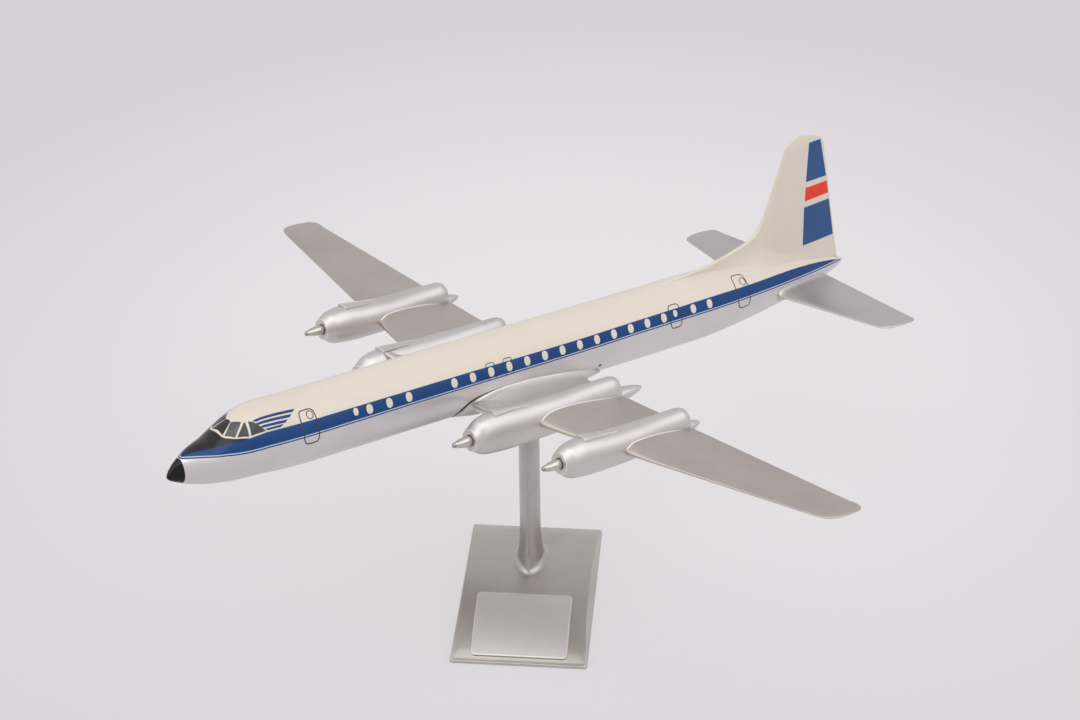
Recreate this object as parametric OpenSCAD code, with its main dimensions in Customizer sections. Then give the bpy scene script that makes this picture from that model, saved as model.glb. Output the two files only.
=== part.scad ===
// Desk model of a four-engined propeller-turbine airliner on a cast stand.
// The stand faces -Y, its underside is z = 0 and its post stands on the Z axis.
// The aircraft is drawn in its own frame (x aft from the nose tip, y to starboard,
// z up from the fuselage axis) and set on the seat of the post by in_flight().

/* [Stand] */
// Length of the base, front to back
base_l = 120; // [100:1:150]
// Width of the base at the table
base_w = 74; // [60:1:100]
// Distance of the front edge from the post axis
base_front = 78.2; // [60:0.1:90]
// Height of the base at its crown
base_crown = 14.5; // [10:0.5:22]
// Height of the front and rear edges
base_edge = 2; // [1:0.25:4]
// Inward draft of the side faces per millimetre of height
side_draft = 0.17; // [0.05:0.01:0.3]
// Thickness of the post across
post_w = 11.4; // [10:0.2:16]
// Depth of the post from ridge to ridge
post_d = 26; // [20:0.5:34]
// Height above the base crown where the foot of the post begins to spread
foot_h = 22; // [12:1:40]
// How far the foot spreads at the sides
foot_side = 2.6; // [1:0.2:5]
// How far the foot spreads in front and behind
foot_front = 9; // [4:0.5:14]
// Width of the name plate
plate_w = 52; // [40:1:56]
// Length of the name plate along the slope
plate_l = 42; // [30:1:48]
// Thickness of the name plate
plate_t = 0.8; // [0.4:0.1:1.5]
// Corner radius of the name plate
plate_r = 2.4; // [1:0.2:6]
// Margin between the name plate and the front edge
plate_margin = 3.4; // [2:0.2:8]

/* [Attitude] */
// Height of the seat above the table, on the post axis
seat_h = 125; // [105:1:160]
// Backward lean of the swivel axis
seat_tilt = 8; // [0:0.5:15]
// Heading of the aircraft about the swivel axis, 0 is nose to port of the stand
heading = 45; // [0:1:90]
// Nose-up set of the fuselage on its seat
nose_up = 3; // [0:0.5:5]

/* [Fuselage] */
// Length from nose tip to tail tip
body_l = 463; // [450:1:480]
// Radius of the cabin
body_r = 18.8; // [18:0.1:20]
// Length over which the nose tapers
nose_l = 82; // [70:1:95]
// How far the nose tip lies below the axis
nose_drop = 6.6; // [4:0.2:8]
// Length over which the nose droops
droop_l = 48; // [40:1:70]
// Length of the tail cone
tail_l = 123; // [100:1:140]
// How far the tail tip lies above the axis
tail_rise = 1.2; // [0:0.1:4]
// Length of the black nose cap
cap_l = 7; // [5:0.5:12]

/* [Wing] */
// Half span of the wing
half_span = 226; // [215:1:240]
// Leading edge at the centre line, aft of the nose tip
wing_x = 176; // [170:0.5:182]
// Chord at the centre line
root_chord = 72; // [68:0.5:76]
// Chord just inside the rounded tip
tip_chord = 26; // [22:0.5:32]
// Sweep of the leading edge, aft per unit of span
le_sweep = 0.207; // [0.18:0.005:0.23]
// Thickness of the wing as a share of its chord
wing_thick = 0.125; // [0.1:0.005:0.15]
// Height of the wing plane at the centre line
wing_z = -12; // [-13:0.25:-11]
// Rise of the wing per unit of span
dihedral = 0.05; // [0.03:0.005:0.07]
// Nose-up set of the wing chord
incidence = 1.5; // [0:0.5:3]
// Length of the rounded tip
tip_round = 11; // [7:0.5:14]

/* [Nacelles] */
// Distance of the inboard nacelles from the centre line
inboard_y = 47; // [45:0.5:52]
// Distance of the outboard nacelles from the centre line
outboard_y = 99.5; // [92:0.5:106]
// Front face of the inboard nacelles, aft of the nose tip
inboard_x = 149.5; // [145:0.5:154]
// Front face of the outboard nacelles, aft of the nose tip
outboard_x = 163.5; // [160:0.5:168]
// Height of the inboard spinner axis
inboard_z = -9.6; // [-11:0.2:-8]
// Height of the outboard spinner axis
outboard_z = -5.2; // [-7:0.2:-4]
// Greatest half width of a nacelle
nacelle_w = 8.8; // [8:0.2:10]
// Depth of a nacelle below its spinner axis
nacelle_deep = 10.6; // [9:0.2:12.5]
// Height of the jet pipe hump above the inboard spinner axes
inboard_hump = 10.8; // [9:0.2:12]
// Height of the jet pipe hump above the outboard spinner axes
outboard_hump = 8.6; // [7.6:0.2:10]
// Length of the pointed fairing behind the hump, outboard
tail_fairing = 11; // [8:0.5:16]
// Radius of the front lip
lip_r = 6.4; // [5.8:0.1:7]
// Length of a spinner in front of its nacelle
spinner_l = 12.1; // [11:0.1:15]
// Largest radius of a spinner
spinner_r = 2.7; // [2.5:0.1:3.2]

/* [Tail] */
// Height of the fin tip above the axis
fin_h = 82.6; // [74:0.2:90]
// Fin leading edge where it leaves the dorsal fillet, aft of the nose tip
fin_x = 390.5; // [386:0.5:396]
// Half span of the tailplane
tail_span = 83; // [74:0.5:88]
// Height of the tailplane
tail_z = -1.9; // [-4:0.1:1]
// Tailplane leading edge at the centre line, aft of the nose tip
tail_x = 393.6; // [388:0.2:398]
// Chord of the tailplane at the centre line
tail_root = 49.5; // [45:0.5:54]
// Chord of the tailplane just inside its tip
tail_tip = 26; // [22:0.5:30]

/* [Pivot] */
// Radius of the shoulder of the pivot screw
shoulder_r = 2.5; // [2:0.1:3]
// Radius of the thread of the pivot screw
thread_r = 1.9; // [1.5:0.1:2]
// Outer radius of the pivot bush
bush_r = 4; // [3.6:0.1:4.4]
// Length of the pivot bush
bush_l = 7; // [5:0.25:8]
// Thickness of the fibre washer
washer_t = 0.8; // [0.5:0.1:1.2]
// Radius of a spinner pin
pin_r = 1; // [0.8:0.05:1.2]
// Radius of a tailplane dowel
dowel_r = 1; // [0.8:0.05:1.3]

/* [Hidden] */

// Fits: a running fit in a bush, a seated gap between castings, a small overlap for joining
run_gap = 0.05;
seat_gap = 0.12;
eps = 0.01;
join = 0.5;

alu = "#b4aea6";
cream = "#e8e0cd";
steel = "#9a9a9c";

// The crown of the base is an arc through its front and rear edges
arc_rise = base_crown - base_edge;
arc_r = (base_l * base_l / 4 + arc_rise * arc_rise) / (2 * arc_rise);
base_mid = base_l / 2 - base_front;
function crown(y) = base_crown - arc_r + sqrt(arc_r * arc_r - (y - base_mid) * (y - base_mid));

// The pivot stack, measured up the swivel axis from the seat
head_r = shoulder_r + 1.3;
head_h = 2.4;
thrust_t = 0.6;
thread_l = 14;
counterbore_r = head_r + 1.2;
spot_r = post_d / 2 + 2;
pivot_x = 226.2;
seat_z = -21;
block_top = -10;
block_w = 11;
block_x0 = pivot_x - 50;
block_x1 = pivot_x + 34;
screw_in = 10;
screw_r = 1.5;
screw_head_r = 3.2;
screw_head_h = 1.9;
screw_reach = 7;
slot_w = 0.8;
slot_d = 0.6;
bore_l = 30;

// Skin of a closed loft: rings of equal count, ordered right-handed about the loft direction
module skin(rings) {
    n = len(rings[0]);
    m = len(rings);
    first = [for (k = [0:2]) [for (p = rings[0]) p[k]] * [for (p = rings[0]) 1] / n];
    last = [for (k = [0:2]) [for (p = rings[m - 1]) p[k]] * [for (p = rings[0]) 1] / n];
    points = concat([for (r = rings) for (p = r) p], [first, last]);
    faces = concat(
        [for (i = [0:m - 2]) for (j = [0:n - 1]) [i * n + j, (i + 1) * n + j, i * n + (j + 1) % n]],
        [for (i = [0:m - 2]) for (j = [0:n - 1])
            [i * n + (j + 1) % n, (i + 1) * n + j, (i + 1) * n + (j + 1) % n]],
        [for (j = [0:n - 1]) [m * n, j, (j + 1) % n]],
        [for (j = [0:n - 1]) [m * n + 1, (m - 1) * n + (j + 1) % n, (m - 1) * n + j]]);
    polyhedron(points, faces, convexity = 8);
}

// Straight line between the points of a table of [key, value] rows, eased at the rows
function ease(t) = t * t * (3 - 2 * t);
function along(table, x, i = 0) =
    x <= table[0][0] ? table[0][1] :
    i >= len(table) - 1 ? table[len(table) - 1][1] :
    x <= table[i + 1][0] ? table[i][1] + (table[i + 1][1] - table[i][1])
        * (x - table[i][0]) / (table[i + 1][0] - table[i][0]) :
    along(table, x, i + 1);

// Half thickness of a symmetrical aerofoil at a share u of its chord, with a blunt rear edge
function foil(u, thick) =
    5 * thick * (0.2969 * sqrt(u) - 0.126 * u - 0.3516 * u * u + 0.2843 * pow(u, 3) - 0.1036 * pow(u, 4))
    + 0.006 * u;
foil_n = 12;
foil_u = [for (i = [0:foil_n]) (1 - cos(180 * i / foil_n)) / 2];
// Points of an aerofoil from nose over the top to the rear edge and back below, as [x, z]
function foil_ring(x, chord, thick, half_edge = 0.15) = concat(
    [for (i = [0:foil_n]) [x + chord * foil_u[i], chord * foil(foil_u[i], thick) + half_edge * foil_u[i]]],
    [for (i = [foil_n:-1:1]) [x + chord * foil_u[i], -chord * foil(foil_u[i], thick) - half_edge * foil_u[i]]]);

// Frames
module on_seat() {
    translate([0, 0, seat_h]) rotate([-seat_tilt, 0, 0]) children();
}
module in_flight() {
    on_seat() rotate([0, 0, heading]) rotate([0, nose_up, 0])
        translate([-pivot_x, 0, -seat_z]) children();
}
// The swivel axis as seen from the aircraft's own frame
module at_pivot() {
    translate([pivot_x, 0, seat_z]) rotate([0, -nose_up, 0]) children();
}
engine_at = [[inboard_x, -inboard_y, inboard_z], [outboard_x, -outboard_y, outboard_z],
    [inboard_x, inboard_y, inboard_z], [outboard_x, outboard_y, outboard_z]];
module at_engine(i) {
    translate(engine_at[i]) children();
}

// Stand
base_corner = 1.5;
module base_prism() {
    // Drafted sides and square ends, tall enough to be cut by the crown
    top = base_crown + 4;
    hull() {
        for (sx = [-1, 1], sy = [-1, 1]) translate([sx * (base_w / 2 - base_corner),
            base_mid + sy * (base_l / 2 - base_corner), 0])
            cylinder(r = base_corner, h = eps, $fn = 24);
        for (sx = [-1, 1], sy = [-1, 1]) translate([sx * (base_w / 2 - base_corner - side_draft * top),
            base_mid + sy * (base_l / 2 - base_corner), top])
            cylinder(r = base_corner, h = eps, $fn = 24);
    }
}
module crown_cylinder(extra, w) {
    translate([-w / 2, base_mid, base_crown - arc_r]) rotate([0, 90, 0])
        cylinder(r = arc_r + extra, h = w, $fn = 180);
}
// Outline of the post: two arcs that meet in a ridge in front and behind
lens_n = 10;
function lens(hw, hd) = let (r = (hd * hd + hw * hw) / (2 * hw)) concat(
    [for (i = [0:lens_n - 1]) let (y = -hd * cos(180 * i / lens_n)) [sqrt(r * r - y * y) - r + hw, y]],
    [for (i = [0:lens_n - 1]) let (y = hd * cos(180 * i / lens_n)) [-(sqrt(r * r - y * y) - r + hw), y]]);
post_top = seat_h + 6;
foot_top = base_crown + foot_h;
foot_n = 8;
function foot_ring(z) = let (t = max(0, (foot_top - z) / (foot_top - base_crown + 3)), s = pow(t, 3))
    [for (p = lens(post_w / 2 + foot_side * pow(t, 1.6), post_d / 2 + foot_front * s)) [p[0], p[1], z]];
foot_z = [for (i = [0:foot_n]) foot_top - (foot_top - base_crown + 3) * (1 - pow(1 - i / foot_n, 1.5))];
module post() {
    rings = concat([for (i = [foot_n:-1:0]) foot_ring(foot_z[i])],
        [[for (p = lens(post_w / 2 * 0.96, post_d / 2)) [p[0], p[1], post_top]]]);
    difference() {
        skin(rings);
        on_seat() translate([-post_d, -post_d, -washer_t]) cube([2 * post_d, 2 * post_d, post_d]);
    }
}
module stand_casting() {
    color(alu) difference() {
        union() {
            intersection() {
                base_prism();
                crown_cylinder(0, base_w);
            }
            post();
        }
        on_seat() translate([0, 0, -washer_t - thread_l - 2])
            cylinder(r = thread_r + run_gap, h = thread_l + 2 + join, $fn = 32);
    }
}
// The plate is bent to the crown and lies flat on it
plate_angle = asin((base_front + base_mid - plate_margin) / arc_r) - plate_l / 2 / arc_r * 180 / PI;
module name_plate() {
    cr = min(plate_r, plate_l / 2 - eps, plate_w / 2 - eps);
    color("#b9b8b6") intersection() {
        difference() {
            crown_cylinder(plate_t + run_gap, plate_w + join);
            crown_cylinder(run_gap, plate_w + 2 * join);
        }
        translate([0, base_mid, base_crown - arc_r]) rotate([plate_angle, 0, 0])
            translate([0, 0, arc_r - 6]) linear_extrude(12)
            union() {
                square([plate_w - 2 * cr, plate_l], center = true);
                square([plate_w, plate_l - 2 * cr], center = true);
                for (sx = [-1, 1], sy = [-1, 1])
                    translate([sx * (plate_w / 2 - cr), sy * (plate_l / 2 - cr)]) circle(r = cr, $fn = 32);
            }
    }
}

// Pivot
module fibre_washer() {
    color("#6e4a2c") on_seat() translate([0, 0, -washer_t]) difference() {
        cylinder(r = post_w / 2 - 0.2, h = washer_t, $fn = 48);
        translate([0, 0, -eps]) cylinder(r = shoulder_r + 0.2, h = washer_t + 2 * eps, $fn = 48);
    }
}
module pivot_screw() {
    color(steel) on_seat() difference() {
        union() {
            translate([0, 0, -washer_t]) cylinder(r = shoulder_r, h = washer_t + bush_l + thrust_t + eps, $fn = 48);
            translate([0, 0, bush_l + thrust_t]) cylinder(r = head_r, h = head_h, $fn = 48);
            translate([0, 0, -washer_t - thread_l]) cylinder(r = thread_r, h = thread_l + eps, $fn = 48);
        }
        translate([-head_r, -slot_w / 2, bush_l + thrust_t + head_h - 2 * slot_d])
            cube([2 * head_r, slot_w, 4 * slot_d]);
    }
}
module thrust_washer() {
    color(steel) on_seat() translate([0, 0, bush_l]) difference() {
        cylinder(r = head_r + 0.4, h = thrust_t, $fn = 48);
        translate([0, 0, -eps]) cylinder(r = shoulder_r + run_gap, h = thrust_t + 2 * eps, $fn = 48);
    }
}
module pivot_bush() {
    color("#b59b54") on_seat() difference() {
        cylinder(r = bush_r, h = bush_l, $fn = 48);
        translate([0, 0, -eps]) cylinder(r = shoulder_r + run_gap, h = bush_l + 2 * eps, $fn = 48);
    }
}

// Fuselage skin: circles whose radius and height follow the nose and tail curves
function blunt(x) = 0.763 - 0.12 * pow(max(0, 1 - x / 6), 2);
function hull_r(x) = x < nose_l ? body_r * pow(1 - pow(1 - x / nose_l, 2.43), blunt(x)) :
    x < body_l - tail_l ? body_r :
    body_r * pow(max(1 - pow((x - body_l + tail_l) / tail_l, 1.474), 0), 0.72);
function hull_z(x) = x < droop_l ? -nose_drop * (1 - x / droop_l) :
    x < body_l - tail_l - 40 ? 0 : tail_rise * (x - body_l + tail_l + 40) / (tail_l + 40);
body_n = 44;
function body_ring(x, less = 0) = [for (j = [0:body_n - 1]) let (a = 360 * j / body_n, r = max(hull_r(x) - less, 0.3))
    [x, r * cos(a), hull_z(x) + r * sin(a)]];
nose_x = [for (t = [0, 0.04, 0.13, 0.28, 0.5, 0.75]) 0.02 + t * cap_l];
tail_xs = [for (s = [0:14]) body_l - tail_l * (1 - s / 15)];
body_xs = concat([for (s = [0:9]) cap_l + (nose_l - cap_l) * pow(s / 10, 1.3)], [nose_l, pivot_x],
    tail_xs, [body_l - 1.2, body_l - 0.3, body_l]);
module body() {
    for (i = [0:len(body_xs) - 2]) hull() skin([body_ring(body_xs[i]), body_ring(body_xs[i + 1])]);
}
module nose_cap() {
    color("#161616") in_flight() union() {
        skin([for (x = concat(nose_x, [cap_l - run_gap])) body_ring(x)]);
        translate([cap_l - 1, 0, hull_z(cap_l)]) rotate([0, 90, 0]) cylinder(r = 3, h = 6, $fn = 32);
    }
}

// Fin: aerofoils stacked up the z axis, with the top rounded off
fin_te = 456.6;
fin_top_le = 423;
fin_top_te = 436.6;
fin_straight = fin_h - 7;
fin_foot = 1;
function fin_le(z) = fin_x + 0.352 * (z - 27);
function fin_re(z) = fin_te - (fin_te - fin_top_te - 2) * (z - 8) / (fin_h - 12);
function fin_end(z) = let (t = max(0, (z - fin_straight) / (fin_h - fin_straight))) 1 - sqrt(max(0, 1 - t * t));
fin_z = concat([fin_foot, 8, 20, 40, 60], [for (t = [0, 0.35, 0.6, 0.8, 0.93, 1]) fin_straight + (fin_h - fin_straight) * t]);
function fin_ring(z) = let (lean = fin_end(z), le = fin_le(min(z, fin_straight)) + lean * 15,
        te = fin_re(z) - lean * 7, chord = te - le, f = foil_ring(le, chord, 0.1 - 0.03 * z / fin_h))
    [for (p = f) [p[0], -p[1] , z]];
// Dorsal ridge: sweeps up from the spine into the leading edge of the fin, with hollow flanks
dorsal_x0 = 338;
dorsal_top = 42;
dorsal_x1 = fin_le(dorsal_top) + 1;
dorsal_n = 14;
function ridge_z(x) = let (d = (x - dorsal_x0) / (dorsal_x1 - dorsal_x0))
    body_r - 0.4 + (dorsal_top - body_r) * (0.58 * d + 0.42 * pow(d, 8));
function dorsal_ring(x) = let (zt = ridge_z(x), zb = 9, r = 1.1, reach = 8)
    [for (k = [-dorsal_n:dorsal_n]) let (s = abs(k) / dorsal_n, cap = 90 * min(1, 3 * s), f = max(0, (s - 1 / 3) * 1.5))
        [x, -sign(k) * (r * sin(cap) + reach * pow(f, 2.6)), zt - r * (1 - cos(cap)) - (zt - zb - r) * f]];
module dorsal() {
    skin([for (i = [0:16]) dorsal_ring(dorsal_x0 + (dorsal_x1 - dorsal_x0) * (1 - pow(1 - i / 16, 1.5)))]);
}
module fin() {
    skin([for (z = fin_z) [for (p = fin_ring(z)) p]]);
    dorsal();
}
dowel_at = [tail_x + 0.28 * tail_root, tail_x + 0.66 * tail_root];
dowel_l = 9;
root_depth = 4;
function side_y(x, z) = sqrt(max(pow(hull_r(x), 2) - pow(z - hull_z(x), 2), 4));
module dowels(extra) {
    for (s = [-1, 1], x = dowel_at) let (y = side_y(x, tail_z)) translate([x, s * y, tail_z]) rotate([90, 0, 0])
        cylinder(r = dowel_r + extra, h = dowel_l + 2 * extra, center = true, $fn = 24);
}
module screw_at() {
    for (x = [block_x0 + screw_in, block_x1 - screw_in]) translate([x, 0, 0]) children();
}
module fuselage_casting() {
    color(cream) in_flight() difference() {
        union() {
            body();
            fin();
        }
        // Pocket over the centre block of the wing casting
        translate([block_x0 - seat_gap, -block_w - seat_gap, -body_r - 2])
            cube([block_x1 - block_x0 + 2 * seat_gap, 2 * (block_w + seat_gap), body_r + 2 + block_top + seat_gap]);
        screw_at() translate([0, 0, block_top - join])
            cylinder(r = screw_r + run_gap, h = screw_reach + 2 * join, $fn = 24);
        translate([cap_l - 1, 0, hull_z(cap_l)]) rotate([0, 90, 0]) cylinder(r = 3 + run_gap, h = 7, $fn = 32);
        dowels(run_gap);
    }
}

// Wing: one aerofoil loft from tip to tip
function wing_le(y) = wing_x + le_sweep * abs(y);
root_flare = 14.5;
function wing_chord(y) = root_chord + (tip_chord - root_chord) * abs(y) / (half_span - tip_round)
    + root_flare * pow(min(1, max(0, 1 - (abs(y) - body_r + 2.5) / 7)), 2.6);
function wing_end(y) = let (t = max(0, (abs(y) - half_span + tip_round) / tip_round)) 1 - sqrt(max(0, 1 - t * t));
function wing_ring(y) = let (e = wing_end(y), c0 = wing_chord(min(abs(y), half_span - tip_round)),
        x0 = wing_le(y) + e * 0.5 * c0, c = max(c0 * (1 - 0.82 * e), 2),
        f = foil_ring(x0, c, wing_thick * (1 - 0.25 * abs(y) / half_span)))
    [for (p = f) [p[0], y, wing_z + dihedral * abs(y) + p[1] * sqrt(max(1 - e, 0.06))
        + tan(incidence) * (wing_x + root_chord / 2 - p[0])]];
tip_t = [1, 0.97, 0.88, 0.72, 0.5, 0.25, 0];
wing_y = concat([for (t = tip_t) -half_span + tip_round * (1 - t)], [-150, -outboard_y, -inboard_y],
    [for (d = [16, 10, 6.5, 4, 2, 0]) -body_r - d + 2], [-8, 0]);
module wing() {
    ys = concat(wing_y, [for (i = [len(wing_y) - 2:-1:0]) -wing_y[i]]);
    skin([for (y = ys) wing_ring(y)]);
}
// Centre fairing: a skin round the belly of the fuselage that thins out to nothing at its top edge
fair_x0 = wing_x - 11;
fair_x1 = wing_x + root_chord + 16;
belly_z = seat_z - 0.5;
fair_t = -belly_z - body_r;
// Angle of the top edge round the fuselage, 0 is level with the axis and -90 is the keel
function top_edge(t) = along([[0, -88], [0.03, -60], [0.06, -42], [0.09, -24], [0.15, -15], [0.26, -8],
    [0.44, -8.5], [0.63, -14.5], [0.82, -21.5], [0.97, -29], [1, -60]], t);
function fair_ring(x) = let (t = (x - fair_x0) / (fair_x1 - fair_x0), top = top_edge(t),
        thick = 0.3 + (fair_t - 0.3) * min(ease(min(1, t / 0.2)), ease(min(1, (1 - t) / 0.35))))
    [for (j = [0:43]) let (a = 360 * j / 44, d = top - asin(sin(a)),
            r = body_r + (d < 0 ? max(-6, d * 0.25) : thick * (1 - exp(-pow(d / 11, 2)))))
        [x, r * cos(a), r * sin(a)]];
module centre_fairing() {
    skin([for (s = [0:26]) fair_ring(fair_x0 + (fair_x1 - fair_x0) * pow(s / 26, 1.25))]);
}

// Nacelle, drawn with its spinner axis on x and its front face at x = 0
// Rows give: share of the length, then half width, height above or depth below the spinner axis
function nac_w(u) = along([[0, lip_r - 0.9], [0.006, lip_r], [0.016, lip_r + 0.6], [0.03, lip_r + 1.2],
    [0.05, nacelle_w - 0.9], [0.1, nacelle_w - 0.4], [0.18, nacelle_w - 0.2], [0.32, nacelle_w], [0.55, nacelle_w - 0.1],
    [0.8, nacelle_w - 1.2], [0.95, nacelle_w - 1.9], [0.985, nacelle_w - 2.5], [1, nacelle_w - 3.6]], u);
function nac_up(u, h) = along([[0, lip_r - 0.9], [0.006, lip_r], [0.016, lip_r + 0.6], [0.03, lip_r + 1.3],
    [0.05, lip_r + 0.6 * (h - lip_r)], [0.1, h - 1.3], [0.16, h - 1], [0.33, h], [0.94, h], [0.985, h - 1],
    [1, h - 2.2]], u);
function nac_down(u) = along([[0, lip_r - 0.9], [0.006, lip_r - 0.2], [0.02, lip_r + 0.4], [0.045, nacelle_deep - 2],
    [0.09, nacelle_deep - 0.9], [0.25, nacelle_deep], [0.5, nacelle_deep - 0.2], [0.75, nacelle_deep - 2.8],
    [0.95, nacelle_deep - 5.8], [1, nacelle_deep - 7.3]], u);
nac_u = [0, 0.006, 0.016, 0.03, 0.05, 0.075, 0.1, 0.14, 0.18, 0.25, 0.33, 0.5, 0.65, 0.8, 0.92, 0.955, 0.985, 1];
nac_n = 28;
hump_at = [inboard_hump, outboard_hump, inboard_hump, outboard_hump];
// The upper half is a little squarer than an ellipse
function square_up(a) = pow(abs(sin(a)), 0.86);
module nacelle_body(l, h) {
    skin([for (u = nac_u) [for (j = [0:nac_n - 1]) let (a = 360 * j / nac_n, q = min(1, u / 0.1))
        [u * l, nac_w(u) * cos(a), sin(a) > 0 ? nac_up(u, h) * (q * square_up(a) + (1 - q) * sin(a)) :
            nac_down(u) * sin(a)]]]);
}
scoop_x = 14;
scoop_l = 22;
scoop_w = 3.5;
scoop_h = 0.9;
module scoop(l, h) {
    // A flat-topped lip with a straight step in front that sinks into the nacelle aft
    z0 = nac_up(scoop_x / l, h);
    z1 = nac_up((scoop_x + scoop_l) / l, h);
    hull() {
        for (s = [-1, 1]) translate([scoop_x, s * (scoop_w - 0.9), z0 + scoop_h - 0.9])
            rotate([0, 90, 0]) cylinder(r = 0.9, h = 1, $fn = 16);
        for (s = [-1, 1]) translate([scoop_x + scoop_l, s * (scoop_w - 1.5), z1 - 1.1])
            rotate([0, 90, 0]) cylinder(r = 0.9, h = 1, $fn = 16);
        translate([scoop_x, 2 - scoop_w, z0 - 2.5]) cube([scoop_l, 2 * scoop_w - 4, 1]);
    }
}
module tail_cone(l, tip) {
    // A pointed leaf below the end of the hump
    hull() {
        translate([l - 22, 0, -1.6]) sphere(r = 5.2, $fn = 24);
        translate([l - 6, 0, -1.2]) scale([1, 1, 0.8]) sphere(r = 5, $fn = 24);
        translate([l + tip - 1, 0, 0.6]) sphere(r = 0.8, $fn = 12);
    }
}
function engine_l(i) = wing_x + root_chord - 2 - engine_at[i][0];
recess_r = lip_r - 2.9;
recess_d = 2.6;
nac_bush_r = 2.2;
nac_bush_l = 10;
cone_z = [-1.3, -3.6];
module nacelle(i) {
    l = engine_l(i);
    inner = i % 2 == 0;
    nacelle_body(l, hump_at[i]);
    scoop(l, hump_at[i]);
    translate([0, 0, cone_z[i % 2]]) tail_cone(l, inner ? tail_fairing + 7.5 : tail_fairing);
}
module nacelle_bores() {
    translate([-1, 0, 0]) rotate([0, 90, 0]) cylinder(r = recess_r, h = recess_d + 1, $fn = 36);
    rotate([0, 90, 0]) cylinder(r = nac_bush_r + run_gap, h = recess_d + nac_bush_l + 0.3, $fn = 36);
}
module countersink(extra) {
    translate([0, 0, belly_z - eps])
        cylinder(r1 = screw_head_r + extra, r2 = screw_r + extra, h = screw_head_h, $fn = 32);
    translate([0, 0, belly_z]) cylinder(r = screw_r + extra, h = block_top - belly_z + screw_reach, $fn = 32);
}
module wing_casting() {
    color(alu) in_flight() difference() {
        union() {
            difference() {
                union() {
                    wing();
                    centre_fairing();
                }
                rotate([0, 90, 0]) cylinder(r = body_r + seat_gap, h = body_l - tail_l, $fn = 96);
            }
            // Centre block, which fills the pocket of the fuselage casting
            intersection() {
                translate([block_x0, -block_w, -body_r - 1])
                    cube([block_x1 - block_x0, 2 * block_w, body_r + 1 + block_top]);
                rotate([0, 90, 0]) cylinder(r = body_r + seat_gap + join, h = block_x1, $fn = 96);
            }
            for (i = [0:3]) at_engine(i) nacelle(i);
        }
        for (i = [0:3]) at_engine(i) nacelle_bores();
        at_pivot() {
            translate([0, 0, -bush_l]) cylinder(r = spot_r, h = bush_l, $fn = 48);
            translate([0, 0, -1]) cylinder(r = bush_r + run_gap, h = bore_l, $fn = 48);
            translate([0, 0, bush_l]) cylinder(r = counterbore_r, h = bore_l, $fn = 48);
        }
        screw_at() countersink(run_gap);
    }
}
module wing_screws() {
    color(steel) in_flight() screw_at() difference() {
        countersink(0);
        translate([-screw_head_r - 1, -slot_w / 2, belly_z - slot_d]) cube([2 * screw_head_r + 2, slot_w, 2 * slot_d]);
    }
}

// Tailplanes: the root is cut to the fuselage side
tail_sweep = 0.235;
tail_round = 9;
function tp_le(y) = tail_x + tail_sweep * y;
function tp_chord(y) = tail_root + (tail_tip - tail_root) * y / (tail_span - tail_round);
function tp_end(y) = let (t = max(0, (y - tail_span + tail_round) / tail_round)) 1 - sqrt(max(0, 1 - t * t));
function tp_ring(y, s) = let (e = tp_end(y), c0 = tp_chord(min(y, tail_span - tail_round)),
        f = foil_ring(tp_le(y) + e * 0.55 * c0, max(c0 * (1 - 0.85 * e), 2), 0.09, 0.1))
    [for (p = f) let (z = tail_z + p[1] * sqrt(max(1 - e, 0.08)))
        [p[0], s * y, z]];
tp_y = concat([30, 50], [for (t = [0, 0.25, 0.5, 0.72, 0.88, 0.97, 1]) tail_span - tail_round * (1 - t)]);
module tailplane(s) {
    // Ordered towards +y, so the port side starts at its tip
    out = [for (y = concat([root_depth], tp_y)) tp_ring(y, s)];
    n = len(out);
    difference() {
        skin(s > 0 ? out : [for (i = [n - 1:-1:0]) out[i]]);
        skin([for (x = tail_xs) if (x > tail_x - tail_l / 12) body_ring(x, -seat_gap)]);
        dowels(run_gap);
    }
}
module left_tailplane() { color(alu) in_flight() tailplane(-1); }
module right_tailplane() { color(alu) in_flight() tailplane(1); }
module tailplane_dowels() { color(steel) in_flight() dowels(0); }

// Spinners on their pins
flange_t = 1;
neck_r = 2.2;
head_dome = 1.3;
module nacelle_bush(i) {
    color("#b59b54") in_flight() at_engine(i) rotate([0, 90, 0]) difference() {
        union() {
            translate([0, 0, recess_d]) cylinder(r = nac_bush_r, h = nac_bush_l, $fn = 32);
            translate([0, 0, recess_d - flange_t]) cylinder(r = nac_bush_r + 0.9, h = flange_t, $fn = 32);
        }
        translate([0, 0, -1]) cylinder(r = pin_r + 0.02, h = nac_bush_l + 6, $fn = 32);
    }
}
module spinner_pin(i) {
    color(steel) in_flight() at_engine(i) rotate([0, 90, 0]) union() {
        translate([0, 0, -spinner_l + head_dome]) cylinder(r = pin_r, h = spinner_l - head_dome + recess_d + nac_bush_l, $fn = 32);
        rotate_extrude($fn = 32) intersection() {
            translate([0, -spinner_l + head_dome]) circle(r = head_dome, $fn = 48);
            translate([0, -spinner_l - 1]) square([head_dome + 1, head_dome + 1]);
        }
    }
}
module spinner(i) {
    back = recess_d - flange_t - 0.15;
    front = -spinner_l + head_dome + 0.12;
    color(alu) in_flight() at_engine(i) rotate([0, 90, 0]) rotate_extrude($fn = 48) polygon(concat(
        [[pin_r + 0.06, back], [pin_r + 0.06, front], [head_dome + 0.05, front]],
        [for (k = [1:8]) let (t = k / 8) [head_dome + 0.05 + (spinner_r - head_dome - 0.05) * sin(90 * pow(t, 0.85)),
            front + (-2.4 - front) * t]],
        [[spinner_r - 0.1, -1.6], [neck_r, -1], [neck_r, back]]));
}

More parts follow.
